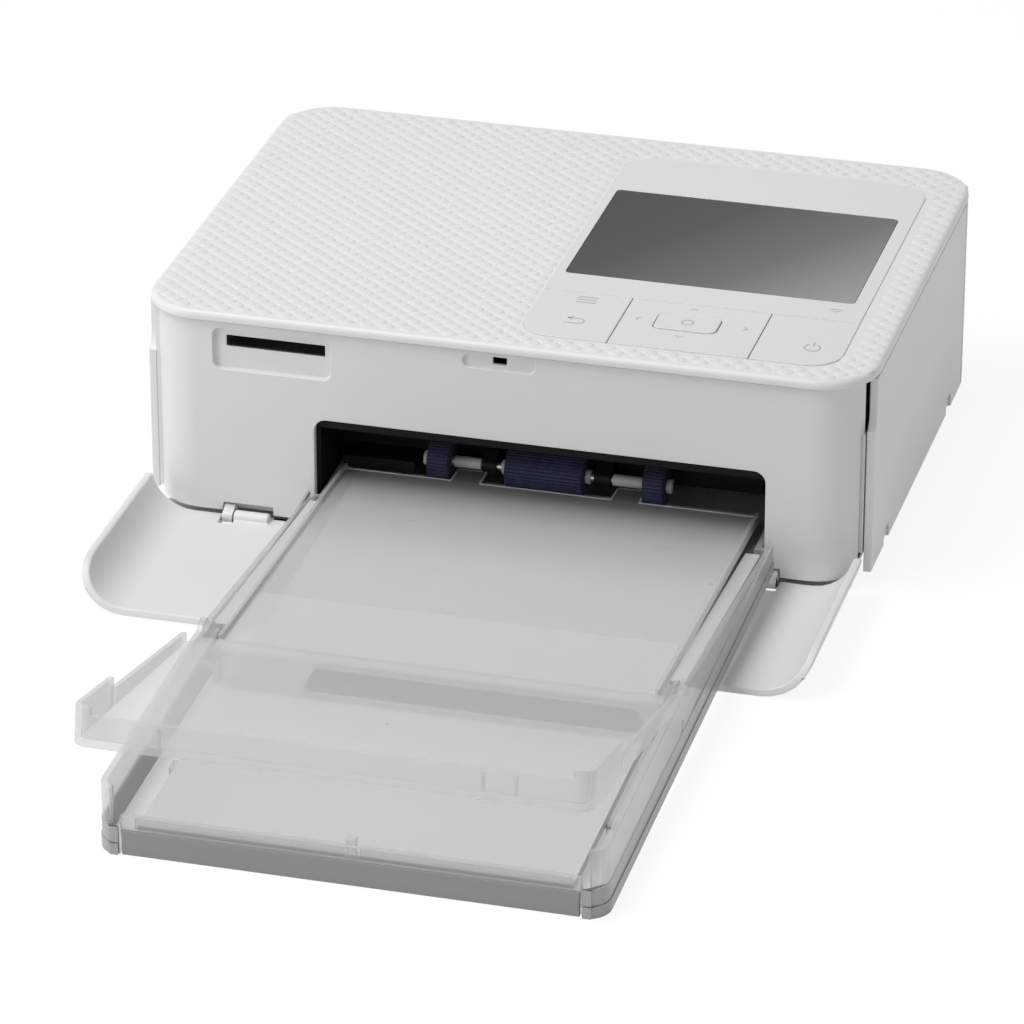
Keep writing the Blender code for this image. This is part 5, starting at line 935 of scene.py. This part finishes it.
def make_cassette_details():
    """The tray's grey bands, front rail, post and ledges, and the bars of the output lid."""
    bands = (
        ("tray_base_band_", (0.0, BASE_BAND_TOP), BASE_BAND_THICK, BAND_GREY),
        ("tray_side_band_", (SIDE_BAND_BOTTOM, SIDE_BAND_TOP), SIDE_BAND_THICK, BAND_PALE),
    )
    for side, label in ((1, "right"), (-1, "left")):
        for name, span, thick, finish in bands:
            band = prism(band_outline(side, thick), "Z", span)
            piece = to_object(band, name + label, IN_CASSETTE)
            settle(smooth(piece), "paper_cassette", "cassette_grey", finish=finish)

    rail = bmesh.new()
    for x in RAIL_SPANS:
        prism(rounded(x, RAIL_Y, RAIL_CORNER, TRIM_STEPS), "Z", RAIL_Z, rail)
    piece = to_object(rail, "tray_front_rail", IN_CASSETTE)
    settle(smooth(piece), "paper_cassette", "cassette_clear")
    post = prism(rounded(POST_X, POST_Y, POST_CORNER, POST_STEPS), "Z", POST_Z)
    piece = bevelled(to_object(post, "tray_middle_post", IN_CASSETTE), SMALL_EDGE)
    settle(piece, "paper_cassette", "cassette_clear")

    for side, label in ((1, "right"), (-1, "left")):
        x = sorted((side * LEDGE_X[0], side * LEDGE_X[1]))
        profile = [(LEDGE_Y[0], LEDGE_Z[0]), (LEDGE_Y[1], LEDGE_Z[1])]
        profile += [(y, z - LEDGE_THICK) for y, z in reversed(profile)]
        ledge = to_object(prism(profile, "X", x), "tray_ledge_" + label, IN_CASSETTE)
        piece = bevelled(ledge, SMALL_EDGE)
        settle(piece, "paper_cassette", "cassette_clear", finish=LEDGE_CLEAR)

    bars = bmesh.new()
    for x in BAR_PLACES:
        outline = rounded((x - BAR_HALF, x + BAR_HALF), BAR_Y, BAR_CORNER, TRIM_STEPS)
        prism(outline, "Z", BAR_Z, bars)
    piece = to_object(bars, "output_lid_bars", IN_LID)
    settle(smooth(piece), "output_lid", "cassette_clear")

    dress_inner_lid()


def dress_inner_lid():
    """The inner lid's tabs, back bead, front layer and relief, and a dark sheet under it, a
    painted shade seen through its window.
    """
    tabs = bmesh.new()
    for x in INNER_TABS:
        outline = rounded(x, INNER_TAB_Y, INNER_TAB_CORNER, CORNER_STEPS)
        prism(outline, "Z", (-INNER_TAB_THICK, 0), tabs)
    piece = bevelled(to_object(tabs, "inner_lid_tabs", IN_INNER_LID), SMALL_EDGE)
    settle(piece, "inner_lid", "cassette_clear", finish=INNER_CLEAR)

    path = [(-INNER_BEAD_HALF, -BEAD_INSET)]
    for left, right in INNER_TABS:
        back = INNER_TAB_Y[1] - BEAD_INSET
        path += [(left, -BEAD_INSET), (left + BEAD_INSET, back)]
        path += [(right - BEAD_INSET, back), (right, -BEAD_INSET)]
    path.append((INNER_BEAD_HALF, -BEAD_INSET))
    bead = bmesh.new()
    stroke(bead, path, BEAD_WIDTH, -BEAD_ROOT, BEAD_ROOT + BEAD_HEIGHT)
    piece = finished_strokes(bead, "inner_lid_bead", IN_INNER_LID)
    settle(piece, "inner_lid", "cassette_clear", finish=BEAD_CLEAR)

    layer_x = (-FRONT_LAYER_HALF, FRONT_LAYER_HALF)
    outline = rounded(layer_x, FRONT_LAYER_Y, FRONT_LAYER_CORNER, SHEET_STEPS)
    layer = prism(outline, "Z", (-BEAD_ROOT, FRONT_LAYER_HEIGHT))
    piece = smooth(to_object(layer, "inner_lid_front_layer", IN_INNER_LID))
    settle(piece, "inner_lid", "cassette_clear", finish=FRONT_CLEAR)

    # A dark sheet on the paper, painted shade behind the inner lid's window
    dark_sheet = prism(rounded(SHADE_SHEET_X, SHADE_SHEET_Y, SHADE_SHEET_CORNER, CORNER_STEPS), "Z", SHADE_SHEET_Z)
    piece = smooth(to_object(dark_sheet, "painted_shade_sheet", IN_CASSETTE))
    settle(piece, "lift_plate", "cassette_grey", finish=SHADE_SHEET_GREY)

    relief = bmesh.new()
    for centre in OVAL_PLACES:
        path = arc(centre, OVAL_RADIUS, -2 * QUARTER + OVAL_GAP, -OVAL_GAP, OVAL_STEPS)
        stroke(relief, path, OVAL_LINE, -BEAD_ROOT, BEAD_ROOT + OVAL_HEIGHT)
    piece = finished_strokes(relief, "inner_lid_relief", IN_INNER_LID)
    settle(piece, "inner_lid", "cassette_clear")


# Stage

CAMERA_AIM = Vector((0.012746, BODY_Y - 0.099735, 0.03))
CAMERA_DISTANCE = 1.42114
CAMERA_AZIMUTH = math.radians(15.167)
CAMERA_ELEVATION = math.radians(26.529)
SENSOR = 36.0
FRAME_PIXELS = 1024
FOCAL_PIXELS = 6011.34
LENS = FOCAL_PIXELS / FRAME_PIXELS * SENSOR
VIEW_REACH = 50.0

KEY_POWER = 13.2
KEY_PLACE = (-0.6, -0.35, 1.3)
KEY_SIZE = 0.8
FILL_POWER = 1.1
FILL_PLACE = (-0.75, -0.55, 0.12)
FILL_SIZE = 0.35
WORLD_LEVEL = 0.36
LAMP_AIM = Vector((0, 0, 0.03))
FLOOR_SIZE = 6.0
FLOOR_PAINT = (0.93, 0.93, 0.93, 1)
FLOOR_GLOW = 1.05
FLOOR_SHARE = 0.84


def softbox(name, power, size, spot):
    """A square lamp that looks at the printer."""
    lamp = bpy.data.lights.new(name, "AREA")
    lamp.energy = power
    lamp.size = size
    thing = linked(name, lamp)
    thing.location = LAMP_AIM + Vector(spot)
    thing.rotation_euler = (-Vector(spot)).to_track_quat("-Z", "Y").to_euler()


def seen_directly(nodes, links):
    """One where the camera, a reflection or a refraction looks, and zero for other rays."""
    path = nodes.new("ShaderNodeLightPath")
    total = nodes.new("ShaderNodeMath")
    total.operation = "ADD"
    links.new(path.outputs["Is Camera Ray"], total.inputs[0])
    links.new(path.outputs["Is Glossy Ray"], total.inputs[1])
    result = nodes.new("ShaderNodeMath")
    result.operation = "ADD"
    result.use_clamp = True
    links.new(total.outputs["Value"], result.inputs[0])
    links.new(path.outputs["Is Transmission Ray"], result.inputs[1])
    return result.outputs["Value"]


def make_world():
    """White where it is looked at, and a plain grey light otherwise."""
    world = bpy.data.worlds.new("studio")
    bpy.context.scene.world = world
    world.use_nodes = True
    nodes = world.node_tree.nodes
    links = world.node_tree.links
    dim = nodes["Background"]
    dim.inputs["Color"].default_value = (1, 1, 1, 1)
    dim.inputs["Strength"].default_value = WORLD_LEVEL
    bright = nodes.new("ShaderNodeBackground")
    bright.inputs["Color"].default_value = (1, 1, 1, 1)
    mix = nodes.new("ShaderNodeMixShader")
    links.new(seen_directly(nodes, links), mix.inputs["Fac"])
    links.new(dim.outputs["Background"], mix.inputs[1])
    links.new(bright.outputs["Background"], mix.inputs[2])
    links.new(mix.outputs["Shader"], nodes["World Output"].inputs["Surface"])


def floor_finish():
    """A white floor that keeps the shadow, and turns pure white where it is looked at."""
    made = bpy.data.materials.new("floor_look")
    made.use_nodes = True
    nodes = made.node_tree.nodes
    links = made.node_tree.links
    nodes.remove(nodes["Principled BSDF"])
    paint = nodes.new("ShaderNodeBsdfDiffuse")
    paint.inputs["Color"].default_value = FLOOR_PAINT
    glow = nodes.new("ShaderNodeEmission")
    glow.inputs["Strength"].default_value = FLOOR_GLOW
    lit = nodes.new("ShaderNodeMixShader")
    share = nodes.new("ShaderNodeMath")
    share.operation = "MULTIPLY"
    share.inputs[1].default_value = FLOOR_SHARE
    links.new(seen_directly(nodes, links), share.inputs[0])
    links.new(share.outputs["Value"], lit.inputs["Fac"])
    links.new(paint.outputs["BSDF"], lit.inputs[1])
    links.new(glow.outputs["Emission"], lit.inputs[2])
    links.new(lit.outputs["Shader"], nodes["Material Output"].inputs["Surface"])
    return made


def make_stage():
    """The floor, the light and the camera."""
    builder = bmesh.new()
    corners = ((-1, -1), (1, -1), (1, 1), (-1, 1))
    verts = [builder.verts.new((FLOOR_SIZE * x, FLOOR_SIZE * y, 0)) for x, y in corners]
    builder.faces.new(verts)
    floor = to_object(builder, "floor")
    floor.data.materials.append(floor_finish())
    make_world()
    softbox("key_light", KEY_POWER, KEY_SIZE, KEY_PLACE)
    softbox("fill_light", FILL_POWER, FILL_SIZE, FILL_PLACE)
    camera = bpy.data.cameras.new("camera")
    camera.sensor_width = SENSOR
    camera.lens = LENS
    camera.clip_end = VIEW_REACH
    back = Vector((math.sin(CAMERA_AZIMUTH), -math.cos(CAMERA_AZIMUTH), 0))
    back *= math.cos(CAMERA_ELEVATION)
    back.z = math.sin(CAMERA_ELEVATION)
    thing = linked("camera", camera)
    thing.location = CAMERA_AIM + back * CAMERA_DISTANCE
    thing.rotation_euler = (-back).to_track_quat("-Z", "Y").to_euler()
    bpy.context.scene.camera = thing
    bpy.context.scene.view_settings.view_transform = "Standard"


dress_nodes()
for node_name, edge_width in SOFT_EDGES.items():
    softened(node_name, edge_width)
make_top_cover()
make_grain()
make_marks()
make_seams()
make_rollers()
make_cassette_details()
make_stage()
